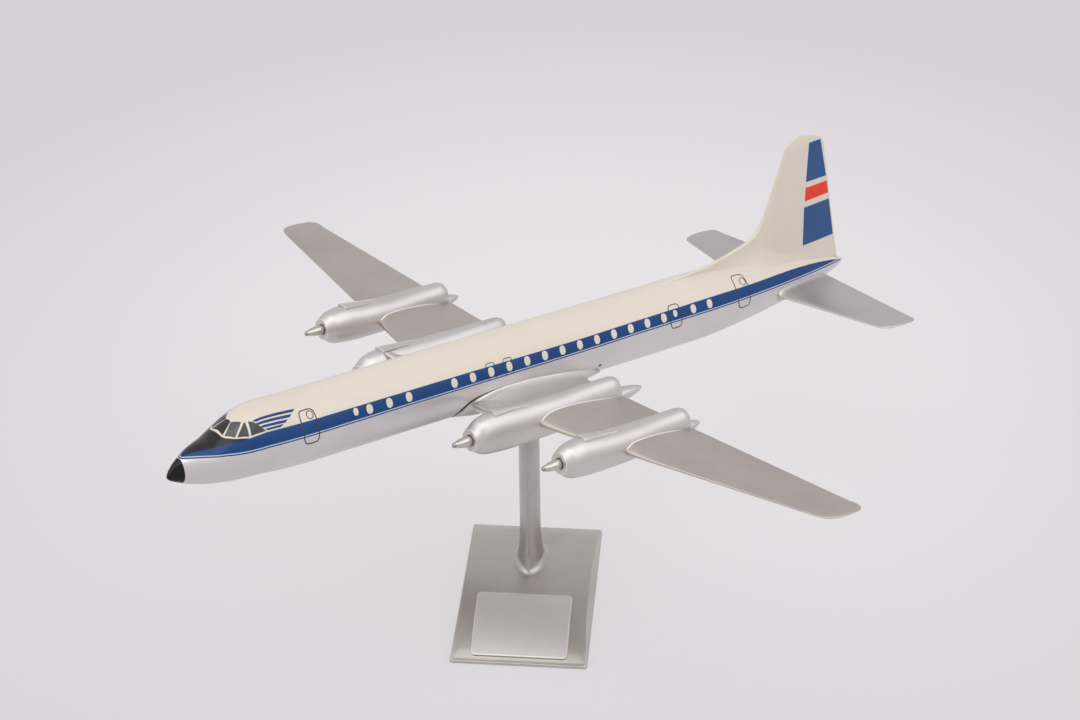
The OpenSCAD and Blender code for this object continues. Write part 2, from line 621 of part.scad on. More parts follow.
stand_casting();
name_plate();
fibre_washer();
pivot_screw();
thrust_washer();
pivot_bush();
wing_casting();
wing_screws();
fuselage_casting();
nose_cap();
left_tailplane();
right_tailplane();
tailplane_dowels();
nacelle_bush(0);  // nacelle_bush_1
nacelle_bush(1);  // nacelle_bush_2
nacelle_bush(2);  // nacelle_bush_3
nacelle_bush(3);  // nacelle_bush_4
spinner_pin(0);  // spinner_pin_1
spinner_pin(1);  // spinner_pin_2
spinner_pin(2);  // spinner_pin_3
spinner_pin(3);  // spinner_pin_4
spinner(0);  // spinner_1
spinner(1);  // spinner_2
spinner(2);  // spinner_3
spinner(3);  // spinner_4
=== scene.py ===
"""Looks of a four-engined airliner display model: a cast aluminium aircraft that turns on a cast stand."""

import logging
import math
from dataclasses import dataclass, field, replace
from enum import Enum
from typing import Any, Callable, Optional, Sequence

import bpy
import numpy as np
from mathutils import Matrix, Vector

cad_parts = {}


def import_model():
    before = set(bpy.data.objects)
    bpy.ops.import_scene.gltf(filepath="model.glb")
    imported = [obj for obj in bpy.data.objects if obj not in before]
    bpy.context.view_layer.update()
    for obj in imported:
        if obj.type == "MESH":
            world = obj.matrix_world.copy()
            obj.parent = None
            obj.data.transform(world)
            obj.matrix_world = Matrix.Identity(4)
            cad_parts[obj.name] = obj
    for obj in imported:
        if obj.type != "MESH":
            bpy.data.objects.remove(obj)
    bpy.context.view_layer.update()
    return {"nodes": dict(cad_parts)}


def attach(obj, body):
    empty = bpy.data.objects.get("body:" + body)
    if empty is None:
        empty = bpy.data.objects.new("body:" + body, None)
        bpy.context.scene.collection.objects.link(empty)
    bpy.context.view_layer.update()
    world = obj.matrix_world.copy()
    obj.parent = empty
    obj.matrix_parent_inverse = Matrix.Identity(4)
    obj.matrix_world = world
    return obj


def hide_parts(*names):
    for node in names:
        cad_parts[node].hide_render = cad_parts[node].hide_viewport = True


MM = 0.001
TUBE_SIDES = 10
TUBE_UP = (0.13, 0.21, 0.97)
LOG = logging.getLogger("airliner")
Table = Sequence[tuple[float, float]]


class Body(Enum):
    """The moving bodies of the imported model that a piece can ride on."""

    STAND = "stand"
    AIRCRAFT = "aircraft"


class Slot(Enum):
    """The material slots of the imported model."""

    STAND = "stand_metal"
    PLATE = "plate_metal"
    WING = "wing_metal"
    PAINT = "body_paint"
    CAP = "cap_black"
    TAIL = "tail_metal"
    SPINNER = "spinner_metal"


class Side(Enum):
    """The side of the aircraft, as the sign of y in its own axes."""

    PORT = -1
    STARBOARD = 1


def linear(code: str) -> tuple[float, float, float, float]:
    """Turns an sRGB hex value to a linear colour.

    Args:
        code: six hex digits.

    Returns:
        Red, green, blue and an alpha of 1.
    """
    parts = [int(code[i:i + 2], 16) / 255 for i in (0, 2, 4)]
    red, green, blue = (p / 12.92 if p <= 0.04045 else ((p + 0.055) / 1.055) ** 2.4 for p in parts)
    return red, green, blue, 1.0


def per_mm(size: float) -> float:
    """Texture scale, in Object coordinates, at which a pattern repeats about every size millimetres."""
    return 1 / (size * MM)


def add(tree: bpy.types.NodeTree, kind: str, settings: Optional[dict[str, Any]] = None,
        inputs: Optional[dict[Any, Any]] = None) -> bpy.types.Node:
    """Adds a node, sets its properties, and fills or links its inputs.

    Args:
        tree: the node tree that gets the node.
        kind: the node's type name.
        settings: property names and their values.
        inputs: socket names or numbers, each with a value or an output socket to link.

    Returns:
        The new node.
    """
    node = tree.nodes.new(kind)
    for name, value in (settings or {}).items():
        setattr(node, name, value)
    for name, value in (inputs or {}).items():
        if isinstance(value, bpy.types.NodeSocket):
            tree.links.new(value, node.inputs[name])
        else:
            node.inputs[name].default_value = value
    return node


def noise(tree: bpy.types.NodeTree, place: bpy.types.NodeSocket, size: float, detail: float,
          roughness: float = 0.5) -> bpy.types.NodeSocket:
    """Adds a noise whose pattern repeats about every size millimetres and returns its value."""
    return add(tree, "ShaderNodeTexNoise", {}, {"Vector": place, "Scale": per_mm(size), "Detail": detail,
                                                "Roughness": roughness}).outputs["Fac"]


def ramp(tree: bpy.types.NodeTree, value: bpy.types.NodeSocket, span: tuple[float, float],
         to: tuple[float, float] = (0.0, 1.0), soft: bool = False) -> bpy.types.NodeSocket:
    """Adds a clamped map from one range to another.

    Args:
        tree: the node tree.
        value: the socket to map.
        span: the range it is read over.
        to: the range it is mapped to.
        soft: whether the map eases in and out.

    Returns:
        The mapped value.
    """
    settings = {"interpolation_type": "SMOOTHSTEP"} if soft else {}
    return add(tree, "ShaderNodeMapRange", settings, {"Value": value, "From Min": span[0], "From Max": span[1],
                                                      "To Min": to[0], "To Max": to[1]}).outputs["Result"]


def blend(tree: bpy.types.NodeTree, share: Any, first: Any, second: Any) -> bpy.types.NodeSocket:
    """Mixes two colours, or sockets that give them, by a share, and returns the colour."""
    return add(tree, "ShaderNodeMix", {"data_type": "RGBA"}, {0: share, 6: first, 7: second}).outputs[2]


def maths(tree: bpy.types.NodeTree, operation: str, first: Any, second: Any) -> bpy.types.NodeSocket:
    """Adds a maths node on two values and returns its result."""
    return add(tree, "ShaderNodeMath", {"operation": operation}, {0: first, 1: second}).outputs[0]


def bump(tree: bpy.types.NodeTree, height: bpy.types.NodeSocket, depth: float,
         under: Optional[bpy.types.NodeSocket] = None) -> bpy.types.NodeSocket:
    """Adds a bump of a depth in millimetres, over another bump's normal if one is given, and returns its normal."""
    inputs = {"Height": height, "Strength": 1.0, "Distance": depth * MM}
    return add(tree, "ShaderNodeBump", {}, inputs if under is None else inputs | {"Normal": under}).outputs["Normal"]


def surface(name: str, build: Callable[[bpy.types.NodeTree, bpy.types.NodeSocket], dict[str, Any]]
            ) -> bpy.types.Material:
    """Makes a material of one principled shader.

    Args:
        name: the material's name.
        build: takes the tree and the Object coordinates and returns the shader's inputs.

    Returns:
        The material.
    """
    made = bpy.data.materials.new(name)
    made.use_nodes = True
    tree = made.node_tree
    tree.nodes.clear()
    out = add(tree, "ShaderNodeOutputMaterial")
    inputs = build(tree, add(tree, "ShaderNodeTexCoord").outputs["Object"])
    tree.links.new(add(tree, "ShaderNodeBsdfPrincipled", {}, inputs).outputs[0], out.inputs[0])
    return made


@dataclass(frozen=True)
class Metal:
    """A bare metal surface: its tone, its tarnish, its casting waves and its hand-worked grain."""

    name: str
    tone: str
    tarnish: str
    roughness: float = 0.3
    uneven: float = 0.1
    patch_mm: float = 9.0
    wave_mm: float = 7.0
    wave_height: float = 0.05
    grain_mm: float = 0.5
    grain_height: float = 0.006
    stretch: tuple[float, float, float] = (1.0, 1.0, 1.0)
    cloud: float = 0.35
    metallic: float = 1.0

    def shader(self, tree: bpy.types.NodeTree, place: bpy.types.NodeSocket) -> dict[str, Any]:
        """Builds the metal.

        Tone is mixed towards tarnish by soft clouds, fine grain moves the roughness, and two bumps
        carry the slow waves of the casting and the marks of the buffing wheel.

        Args:
            tree: the material's tree.
            place: its Object coordinates.

        Returns:
            The inputs of the principled shader.
        """
        drawn = add(tree, "ShaderNodeMapping", {}, {"Vector": place, "Scale": self.stretch}).outputs["Vector"]
        clouds = noise(tree, place, self.patch_mm, 5.0, 0.6)
        grain = noise(tree, drawn, self.grain_mm, 3.0)
        waves = noise(tree, place, self.wave_mm, 1.0)
        share = ramp(tree, clouds, (0.42, 0.72), (0.0, self.cloud), soft=True)
        mean = maths(tree, "MULTIPLY", maths(tree, "ADD", grain, clouds), 0.5)
        half = self.uneven / 2
        return {"Base Color": blend(tree, share, linear(self.tone), linear(self.tarnish)),
                "Roughness": ramp(tree, mean, (0.3, 0.7), (self.roughness - half, self.roughness + half)),
                "Metallic": self.metallic,
                "Normal": bump(tree, grain, self.grain_height, bump(tree, waves, self.wave_height))}


@dataclass(frozen=True)
class Paint:
    """A paint film: its colour, the shade it ages to, its gloss and the ripple of its surface."""

    name: str
    colour: str
    aged: str
    roughness: float = 0.3
    metallic: float = 0.0
    coat: float = 0.0
    patch_mm: float = 11.0
    ripple_mm: float = 1.6
    ripple_height: float = 0.006
    fleck_mm: float = 0.45
    fleck: float = 0.12
    specks: float = 0.0
    speck_mm: float = 8.0
    speck_tone: str = "8d7a66"
    specular: float = 0.5

    def shader(self, tree: bpy.types.NodeTree, place: bpy.types.NodeSocket) -> dict[str, Any]:
        """Builds the paint.

        Colour drifts towards the aged shade in broad soft patches and in fine flecks, the
        roughness follows the patches, and a shallow ripple is the orange peel of a sprayed film.

        Args:
            tree: the material's tree.
            place: its Object coordinates.

        Returns:
            The inputs of the principled shader.
        """
        patch = noise(tree, place, self.patch_mm, 4.0)
        fleck = noise(tree, place, self.fleck_mm, 2.0)
        ripple = noise(tree, place, self.ripple_mm, 1.0)
        aged = maths(tree, "ADD", ramp(tree, patch, (0.4, 0.75), (0.0, 0.5), soft=True),
                     ramp(tree, fleck, (0.35, 0.75), (0.0, self.fleck)))
        tint = blend(tree, aged, linear(self.colour), linear(self.aged))
        if self.specks:
            chips = add(tree, "ShaderNodeTexVoronoi", {}, {"Vector": place, "Scale": per_mm(self.speck_mm)})
            dots = ramp(tree, chips.outputs["Distance"], (0.03, 0.055), (self.specks, 0.0))
            tint = blend(tree, dots, tint, linear(self.speck_tone))
        return {"Base Color": tint, "Metallic": self.metallic, "Specular IOR Level": self.specular,
                "Roughness": ramp(tree, patch, (0.3, 0.7), (self.roughness - 0.05, self.roughness + 0.06)),
                "Coat Weight": self.coat, "Coat Roughness": 0.12,
                "Normal": bump(tree, ripple, self.ripple_height)}


# Sand-cast aluminium, buffed by hand: broad soft reflections, grey-brown where it has dulled
BUFFED = Metal("buffed_cast_aluminium", "d8d3d0", "c9c3be", roughness=0.41, uneven=0.05, patch_mm=34.0, wave_mm=16.0,
               wave_height=0.05, grain_mm=0.7, grain_height=0.0012, cloud=0.5, metallic=0.92)
# The flat of the wing is a browner grey, the alloy's duller tone there, drawn darker still as painted shade for the
# darker reflections its broad upper side takes
SHADED_WING_FLAT = replace(BUFFED, name="shaded_cast_aluminium", tone="c6bdb6", tarnish="b9afa7", roughness=0.4,
               patch_mm=40.0, wave_mm=20.0, wave_height=0.04)
# The tailplanes are a cooler grey than the wing
COOL = replace(SHADED_WING_FLAT, name="grey_cast_aluminium", tone="cbc6c5", tarnish="bfb9b7", patch_mm=30.0)
# Edges and seams of the casting drawn in a brighter, glossier metal: painted highlight along them
HIGHLIGHT_EDGE = Metal("painted_highlight_edge", "f4f0ea", "e6dfd6", roughness=0.3, uneven=0.05, patch_mm=12.0, wave_height=0.0,
             grain_mm=0.7, grain_height=0.001, cloud=0.4, metallic=0.8)
# The stand is the same alloy, brought only to a satin: a flatter grey with a fine tooth
SATIN = Metal("satin_cast_aluminium", "c4bfba", "b4aca5", roughness=0.36, uneven=0.07, patch_mm=26.0, wave_mm=16.0,
              wave_height=0.04, grain_mm=0.6, grain_height=0.0016, cloud=0.45, metallic=0.9)
# The post is a smoother satin, and its tone is a shade darker than the base's as painted shade on its upright sides
SHADED_POST = replace(SATIN, name="shaded_satin_aluminium", tone="b9b4b2", tarnish="a39d99", roughness=0.33, patch_mm=20.0,
               cloud=0.5, metallic=0.95)
# Rolled sheet with a straight brushed grain, drawn coarse enough to show
BRUSHED = Metal("brushed_aluminium_sheet", "dedad8", "cdc9c6", roughness=0.4, uneven=0.08, patch_mm=24.0,
                wave_height=0.0, grain_mm=0.8, grain_height=0.002, stretch=(0.06, 1.0, 1.0), cloud=0.25,
                metallic=0.7)
# Bar turned on a lathe: bright, with rings too fine to see one by one
TURNED = Metal("turned_aluminium", "cfcac2", "a79f95", roughness=0.24, grain_mm=0.35, wave_height=0.0, cloud=0.3)
STEEL = Metal("bright_steel", "a9a8a8", "7d7771", roughness=0.28, patch_mm=3.0, wave_height=0.0, grain_mm=0.3)
BRASS = Metal("turned_brass", "c9ab62", "8f7440", roughness=0.3, patch_mm=3.0, wave_height=0.0, grain_mm=0.3)
# Gunmetal left to darken inside the spinner recess
DULL_BRASS = Metal("darkened_gunmetal", "aca49a", "857b70", roughness=0.45, patch_mm=2.0, wave_height=0.0,
                   grain_mm=0.3)
# Brushing enamel over the casting, aged to a warm cream with a few small chips
CREAM = Paint("cream_enamel", "e4dacb", "ddd0bd", roughness=0.42, coat=0.25, patch_mm=40.0, specks=0.4)
BLUE = Paint("blue_enamel", "083f7a", "12467d", roughness=0.3, coat=0.05, patch_mm=24.0, specular=0.3)
FIN_BLUE = Paint("faded_blue_enamel", "2a548a", "36608f", roughness=0.34, patch_mm=24.0, specular=0.25)
RED = Paint("red_enamel", "f23a2a", "ec4636", roughness=0.34, patch_mm=24.0, specular=0.25)
WHITE_LINE = Paint("pale_line_enamel", "c3ccd6", "b7c0cb", roughness=0.34)
# Aluminium paint: bright flake in clear lacquer, softer than the bare metal
SILVER = Paint("aluminium_paint", "dcd9d8", "d2cecd", roughness=0.38, metallic=0.72, coat=0.1, patch_mm=30.0,
               fleck_mm=0.3, fleck=0.2)
BLACK = Paint("satin_black_enamel", "121112", "1d1b1a", roughness=0.3, coat=0.1, specular=0.4)
CAP = Paint("gloss_black_enamel", "060506", "100e0f", roughness=0.16, coat=0.05, specular=0.3)
PANE = Paint("dark_gloss_pane", "1d1c1e", "3a393b", roughness=0.2, coat=0.15, patch_mm=3.5, fleck=0.1)
# A lighter, mottled pane finish: painted reflection on one windscreen pane
PANE_PAINTED_REFLECTION = Paint("pane_painted_reflection", "454344", "7d7b7a", roughness=0.3, coat=0.1, patch_mm=2.0, fleck=0.3)
INK = Paint("grey_ink_line", "2c2927", "443f3b", roughness=0.5)
# A dark line laid along the open joints: painted shade inside the gaps
JOINT_SHADE = Paint("joint_painted_shade", "2b2724", "3f3934", roughness=0.6)
FIBRE = Paint("vulcanised_fibre", "5f3f26", "7a5636", roughness=0.6, patch_mm=2.0)
FLOOR = Paint("pale_table_top", "dcd9dc", "dad7da", roughness=0.8, patch_mm=300.0, ripple_mm=5.0,
              ripple_height=0.0, fleck=0.0)


def finish_cache(finish: "Metal | Paint") -> bpy.types.Material:
    """Returns the finish's material, building it the first time it is asked for."""
    return bpy.data.materials.get(finish.name) or surface(finish.name, finish.shader)


@dataclass(frozen=True)
class Placement:
    """How the aircraft sits on its pivot: its own axes run aft, to starboard and up from the nose tip."""

    pivot: tuple[float, float, float] = (226.2, 0.0, -21.0)
    seat_height: float = 125.0
    seat_tilt: float = 8.0
    heading: float = 45.0
    nose_up: float = 3.0

    def turn(self) -> np.ndarray:
        """Works out the turn from the aircraft's axes to the stand's: nose up, then heading, then tilt.

        Returns:
            A matrix of three by three.
        """
        tilt = Matrix.Rotation(math.radians(-self.seat_tilt), 3, "X")
        heading = Matrix.Rotation(math.radians(self.heading), 3, "Z")
        pitch = Matrix.Rotation(math.radians(self.nose_up), 3, "Y")
        return np.array(tilt @ heading @ pitch)

    def aircraft(self, points: np.ndarray) -> np.ndarray:
        """Carries aircraft millimetres to frame metres, by the turn about the pivot and a lift to the seat."""
        moved = (points - np.array(self.pivot)) @ self.turn().T
        return (moved + np.array([0.0, 0.0, self.seat_height])) * MM

    def stand(self, points: np.ndarray) -> np.ndarray:
        """Carries stand millimetres, which already share the frame's axes, to metres."""
        return points * MM


PLACEMENT = Placement()


@dataclass
class Patch:
    """A sheet of faces in millimetres, with one finish number, or one for each face with the quads first."""

    points: np.ndarray
    quads: np.ndarray
    tris: np.ndarray
    finish: "int | np.ndarray" = 0

    def finishes(self) -> tuple[np.ndarray, np.ndarray]:
        """Returns the finish numbers of the quads and of the triangles."""
        every = np.broadcast_to(self.finish, len(self.quads) + len(self.tris))
        return every[:len(self.quads)], every[len(self.quads):]


def smooth_table(rows: Table, at: np.ndarray) -> np.ndarray:
    """Draws a smooth curve through a table of values.

    Each span is a cubic whose end slopes are the harmonic mean of the slopes beside it, and
    zero at a turn, so the curve never overshoots its rows.

    Args:
        rows: key and value pairs in rising order of key.
        at: the keys to read.

    Returns:
        The values.
    """
    x, y = np.array(rows, float).T
    step, rise = np.diff(x), np.diff(y)
    grade = rise / step
    left, right = grade[:-1], grade[1:]
    same = left * right > 0
    inner = np.where(same, 2 * left * right / np.where(same, left + right, 1), 0)
    slope = np.concatenate([[grade[0]], inner, [grade[-1]]])
    at = np.clip(at, x[0], x[-1])
    i = np.clip(np.searchsorted(x, at, side="right") - 1, 0, len(step) - 1)
    t = (at - x[i]) / step[i]
    return (y[i] * (1 + 2 * t) * (1 - t) ** 2 + slope[i] * step[i] * t * (1 - t) ** 2
            + y[i + 1] * t * t * (3 - 2 * t) + slope[i + 1] * step[i] * t * t * (t - 1))


def smooth_path(knots: Table, count: int) -> np.ndarray:
    """Draws a smooth plane path through knots, evenly spaced along its length.

    Args:
        knots: points of the path in order.
        count: how many points to return.

    Returns:
        An array of count points.
    """
    pts = np.array(knots, float)
    run = np.concatenate([[0], np.cumsum(np.hypot(*np.diff(pts, axis=0).T) + 1e-9)])
    dense = np.linspace(0, run[-1], 1200)
    curve = np.stack([smooth_table(list(zip(run, pts[:, k])), dense) for k in (0, 1)], -1)
    walked = np.concatenate([[0], np.cumsum(np.hypot(*np.diff(curve, axis=0).T))])
    even = np.linspace(0, walked[-1], count)
    return np.stack([np.interp(even, walked, curve[:, k]) for k in (0, 1)], -1)


def circle(count: int) -> np.ndarray:
    """Returns evenly spaced angles round a full turn."""
    return np.linspace(0, 2 * np.pi, count, endpoint=False)


def superellipse(turn: np.ndarray, power: float) -> np.ndarray:
    """Returns the distance to a superellipse's edge: the sum of sine and cosine to a power, to one over less that."""
    return (np.abs(np.cos(turn)) ** power + np.abs(np.sin(turn)) ** power) ** (-1 / power)


def joined(*parts: Any) -> np.ndarray:
    """Joins coordinates, spread over each other's rows and columns, to points."""
    return np.stack(np.broadcast_arrays(*parts), -1)


def rings(x: Any, radius: Any, turn: np.ndarray) -> np.ndarray:
    """Returns circles about the x axis: points at stations x, a radius away, round the angles turn."""
    return joined(x, radius * np.cos(turn), radius * np.sin(turn))


def grid(points: np.ndarray, wrap: bool = False, first: bool = False, last: bool = False, finish: int = 0) -> Patch:
    """Turns a grid of points into faces.

    Args:
        points: an array of rows by columns by three.
        wrap: whether the last column joins the first.
        first: whether the first row is closed by a fan to its middle.
        last: whether the last row is closed by a fan to its middle.
        finish: the number of the finish on the piece.

    Returns:
        The patch.
    """
    rows, cols = points.shape[:2]
    index = np.arange(rows * cols).reshape(rows, cols)
    side = np.concatenate([index, index[:, :1]], 1) if wrap else index
    quads = np.stack([side[:-1, :-1], side[1:, :-1], side[1:, 1:], side[:-1, 1:]], -1).reshape(-1, 4)
    flat, tris = [points.reshape(-1, 3)], [np.zeros((0, 3), int)]
    for wanted, row, way in ((first, 0, 1), (last, rows - 1, -1)):
        if wanted:
            middle = np.full(cols, rows * cols + len(flat) - 1)
            tris.append(np.stack([middle, index[row], np.roll(index[row], -1)], -1)[:, ::way])
            flat.append(points[row].mean(0, keepdims=True))
    return Patch(np.concatenate(flat), quads, np.concatenate(tris), finish)


def closed(points: np.ndarray, finish: int = 0) -> Patch:
    """Turns rings of points into a skin that is closed at both ends and faces outwards."""
    return outward(grid(points, wrap=True, first=True, last=True, finish=finish))


def four_sided(corners: Sequence[Sequence[float]], count: int) -> np.ndarray:
    """Fills a four-sided outline with a grid of points, by the bilinear blend of its corners.

    Args:
        corners: the corners in order round the outline.
        count: how many points along each side.

    Returns:
        Points in rows and columns.
    """
    v, w = np.meshgrid(np.linspace(0, 1, count), np.linspace(0, 1, count), indexing="ij")
    shares = ((1 - v) * (1 - w), v * (1 - w), v * w, (1 - v) * w)
    return sum(share[..., None] * np.array(corner) for share, corner in zip(shares, corners))


def rounded_outline(half_w: float, half_l: float, corner: float, along: int, bent: int) -> np.ndarray:
    """Draws a rectangle's outline about the origin, with its sides joined by corner arcs.

    Args:
        half_w: half width, along x.
        half_l: half length, along y.
        corner: radius of the corners.
        along: points on each side.
        bent: points on each corner, between its ends.

    Returns:
        Points as x and y, in order.
    """
    run = np.linspace(-1, 1, along)
    bend = np.linspace(0, np.pi / 2, bent + 2)[1:-1]
    parts = []
    for turn, (c, s) in enumerate(((1, 0), (0, 1), (-1, 0), (0, -1))):
        a, b = (half_l, half_w) if turn % 2 else (half_w, half_l)
        arc = np.stack([a - corner + corner * np.cos(bend), b - corner + corner * np.sin(bend)], -1)
        parts.append(np.concatenate([joined(a, run * (b - corner)), arc]) @ np.array([[c, s], [-s, c]]))
    return np.concatenate(parts)


def linked(name: str, data: Any) -> bpy.types.Object:
    """Makes an object of its data and links it to the scene.

    Args:
        name: the object's name.
        data: its mesh, camera or lamp.

    Returns:
        The object.
    """
    made = bpy.data.objects.new(name, data)
    bpy.context.scene.collection.objects.link(made)
    return made


def normals(patch: Patch) -> tuple[np.ndarray, np.ndarray]:
    """Works out the middles of a patch's quads and their normals, from the cross of the diagonals."""
    a, b, c, d = (patch.points[patch.quads[:, k]] for k in range(4))
    return (a + b + c + d) / 4, np.cross(c - a, d - b)


def outward(patch: Patch, inside: Optional[np.ndarray] = None) -> Patch:
    """Turns a patch's faces over where they point inwards.

    Args:
        patch: the patch.
        inside: a point, or a point for each quad, on the inner side; without it the patch is a
            closed skin, and the sign of its volume decides.

    Returns:
        The same patch.
    """
    middle, normal = normals(patch)
    away = middle - (patch.points.mean(0) if inside is None else inside)
    if np.sum(away * normal) < 0:
        patch.quads = patch.quads[:, ::-1]
        patch.tris = patch.tris[:, ::-1]
    return patch


@dataclass
class Piece:
    """One visible piece: its patches, its finishes, the body it rides on and the nodes it stands for."""

    name: str
    patches: list[Patch]
    finishes: list["Metal | Paint"]
    body: Body
    slot: Slot
    replaces: tuple[str, ...] = ()
    rides_on: Optional[str] = None
    carry: Callable[[np.ndarray], np.ndarray] = field(default=PLACEMENT.aircraft)

    def build(self) -> bpy.types.Object:
        """Returns:
            The object.
        """
        mesh = bpy.data.meshes.new(self.name)
        starts = np.cumsum([0] + [len(p.points) for p in self.patches])
        points = self.carry(np.concatenate([p.points for p in self.patches]))
        quads = np.concatenate([p.quads + s for p, s in zip(self.patches, starts)])
        tris = np.concatenate([p.tris + s for p, s in zip(self.patches, starts)])
        mesh.vertices.add(len(points))
        mesh.vertices.foreach_set("co", points.astype(np.float32).ravel())
        mesh.loops.add(quads.size + tris.size)
        mesh.loops.foreach_set("vertex_index", np.concatenate([quads.ravel(), tris.ravel()]).astype(np.int32))
        mesh.polygons.add(len(quads) + len(tris))
        begin = np.concatenate([np.arange(len(quads)) * 4, quads.size + np.arange(len(tris)) * 3])
        mesh.polygons.foreach_set("loop_start", begin.astype(np.int32))
        numbers = [p.finishes() for p in self.patches]
        finish = np.concatenate([n[0] for n in numbers] + [n[1] for n in numbers])
        for finish_of in self.finishes:
            mesh.materials.append(finish_cache(finish_of))
        mesh.polygons.foreach_set("material_index", finish.astype(np.int32))
        mesh.polygons.foreach_set("use_smooth", np.ones(len(quads) + len(tris), bool))
        mesh.update(calc_edges=True)
        mesh.validate()
        made = linked(self.name, mesh)
        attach(made, self.rides_on or self.body.value)
        if self.replaces:
            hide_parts(*self.replaces)
        LOG.info("%s: %d points, %d faces", self.name, len(points), len(quads) + len(tris))
        return made


def tube(path: np.ndarray, radius: float, finish: int, looped: bool = False) -> Patch:
    """Carries a small circle along a path, thinning it to nothing at open ends.

    Args:
        path: points along the middle line.
        radius: the circle's radius.
        finish: the number of its finish.
        looped: whether the path ends where it starts.

    Returns:
        The tube.
    """
    way = np.gradient(path, axis=0)
    if looped:
        way[0] = way[-1] = way[0] + way[-1]
    way /= np.linalg.norm(way, axis=1, keepdims=True)
    out = np.cross(way, TUBE_UP)
    out /= np.linalg.norm(out, axis=1, keepdims=True)
    up = np.cross(out, way)
    t = np.linspace(0, 1, len(path))
    r = radius * (np.ones(len(path)) if looped else np.clip(np.minimum(t * 14, (1 - t) * 5), 0.08, 1) ** 0.5)
    a = circle(TUBE_SIDES)[None, :, None]
    ring = (out[:, None] * np.cos(a) + up[:, None] * np.sin(a)) * r[:, None, None]
    skin = grid(path[:, None] + ring, wrap=True, first=not looped, last=not looped, finish=finish)
    return outward(skin, path[np.arange(len(skin.quads)) // TUBE_SIDES])


@dataclass
class Foil:
    """A symmetrical aerofoil with a blunt rear edge."""

    half_edge: float = 0.15
    count: int = 40

    def shares(self) -> tuple[np.ndarray, np.ndarray]:
        """Returns chord shares round the ring, from nose over the top to the rear and back, and +1 above, -1 below."""
        over = (1 - np.cos(np.linspace(0, np.pi, self.count))) / 2
        return np.concatenate([over, over[-2:0:-1]]), np.concatenate([np.ones(self.count), -np.ones(self.count - 2)])

    def height(self, share: np.ndarray, chord: np.ndarray, thick: np.ndarray) -> np.ndarray:
        """Works out the half thickness.

        The four-digit curve: 5 times the thickness ratio times a polynomial in the root, first,
        second, third and fourth powers of the chord share, plus a small straight taper.

        Args:
            share: chord shares.
            chord: chord lengths.
            thick: thickness ratios.

        Returns:
            Half thicknesses in millimetres.
        """
        curve = (0.2969 * np.sqrt(share) - 0.126 * share - 0.3516 * share ** 2 + 0.2843 * share ** 3
                 - 0.1036 * share ** 4)
        return chord * (5 * thick * curve + 0.006 * share) + self.half_edge * share


@dataclass(frozen=True)
class Tip:
    """How a wing ends: over its last run the chord shortens and moves aft and the section thins.

    The share of closing is one less a quarter oval of the way out: its curve is the power of
    the way and the power of one less that.
    """

    run: float
    curve: tuple[float, float]
    shorten: float
    aft: float
    thinnest: float

    def close(self, past: np.ndarray, base: np.ndarray) -> tuple[np.ndarray, np.ndarray, np.ndarray]:
        """Closes the tip.

        Args:
            past: distances past the tip's start.
            base: chord lengths without the closing.

        Returns:
            Chord lengths, how far the nose moves aft, and the share of the thickness that is left.
        """
        inner, outer = self.curve
        end = 1 - np.maximum(0, 1 - np.clip(past / self.run, 0, 1) ** inner) ** outer
        return (np.maximum(base * (1 - self.shorten * end), 2), end * self.aft * base,
                np.sqrt(np.maximum(1 - end, self.thinnest)))


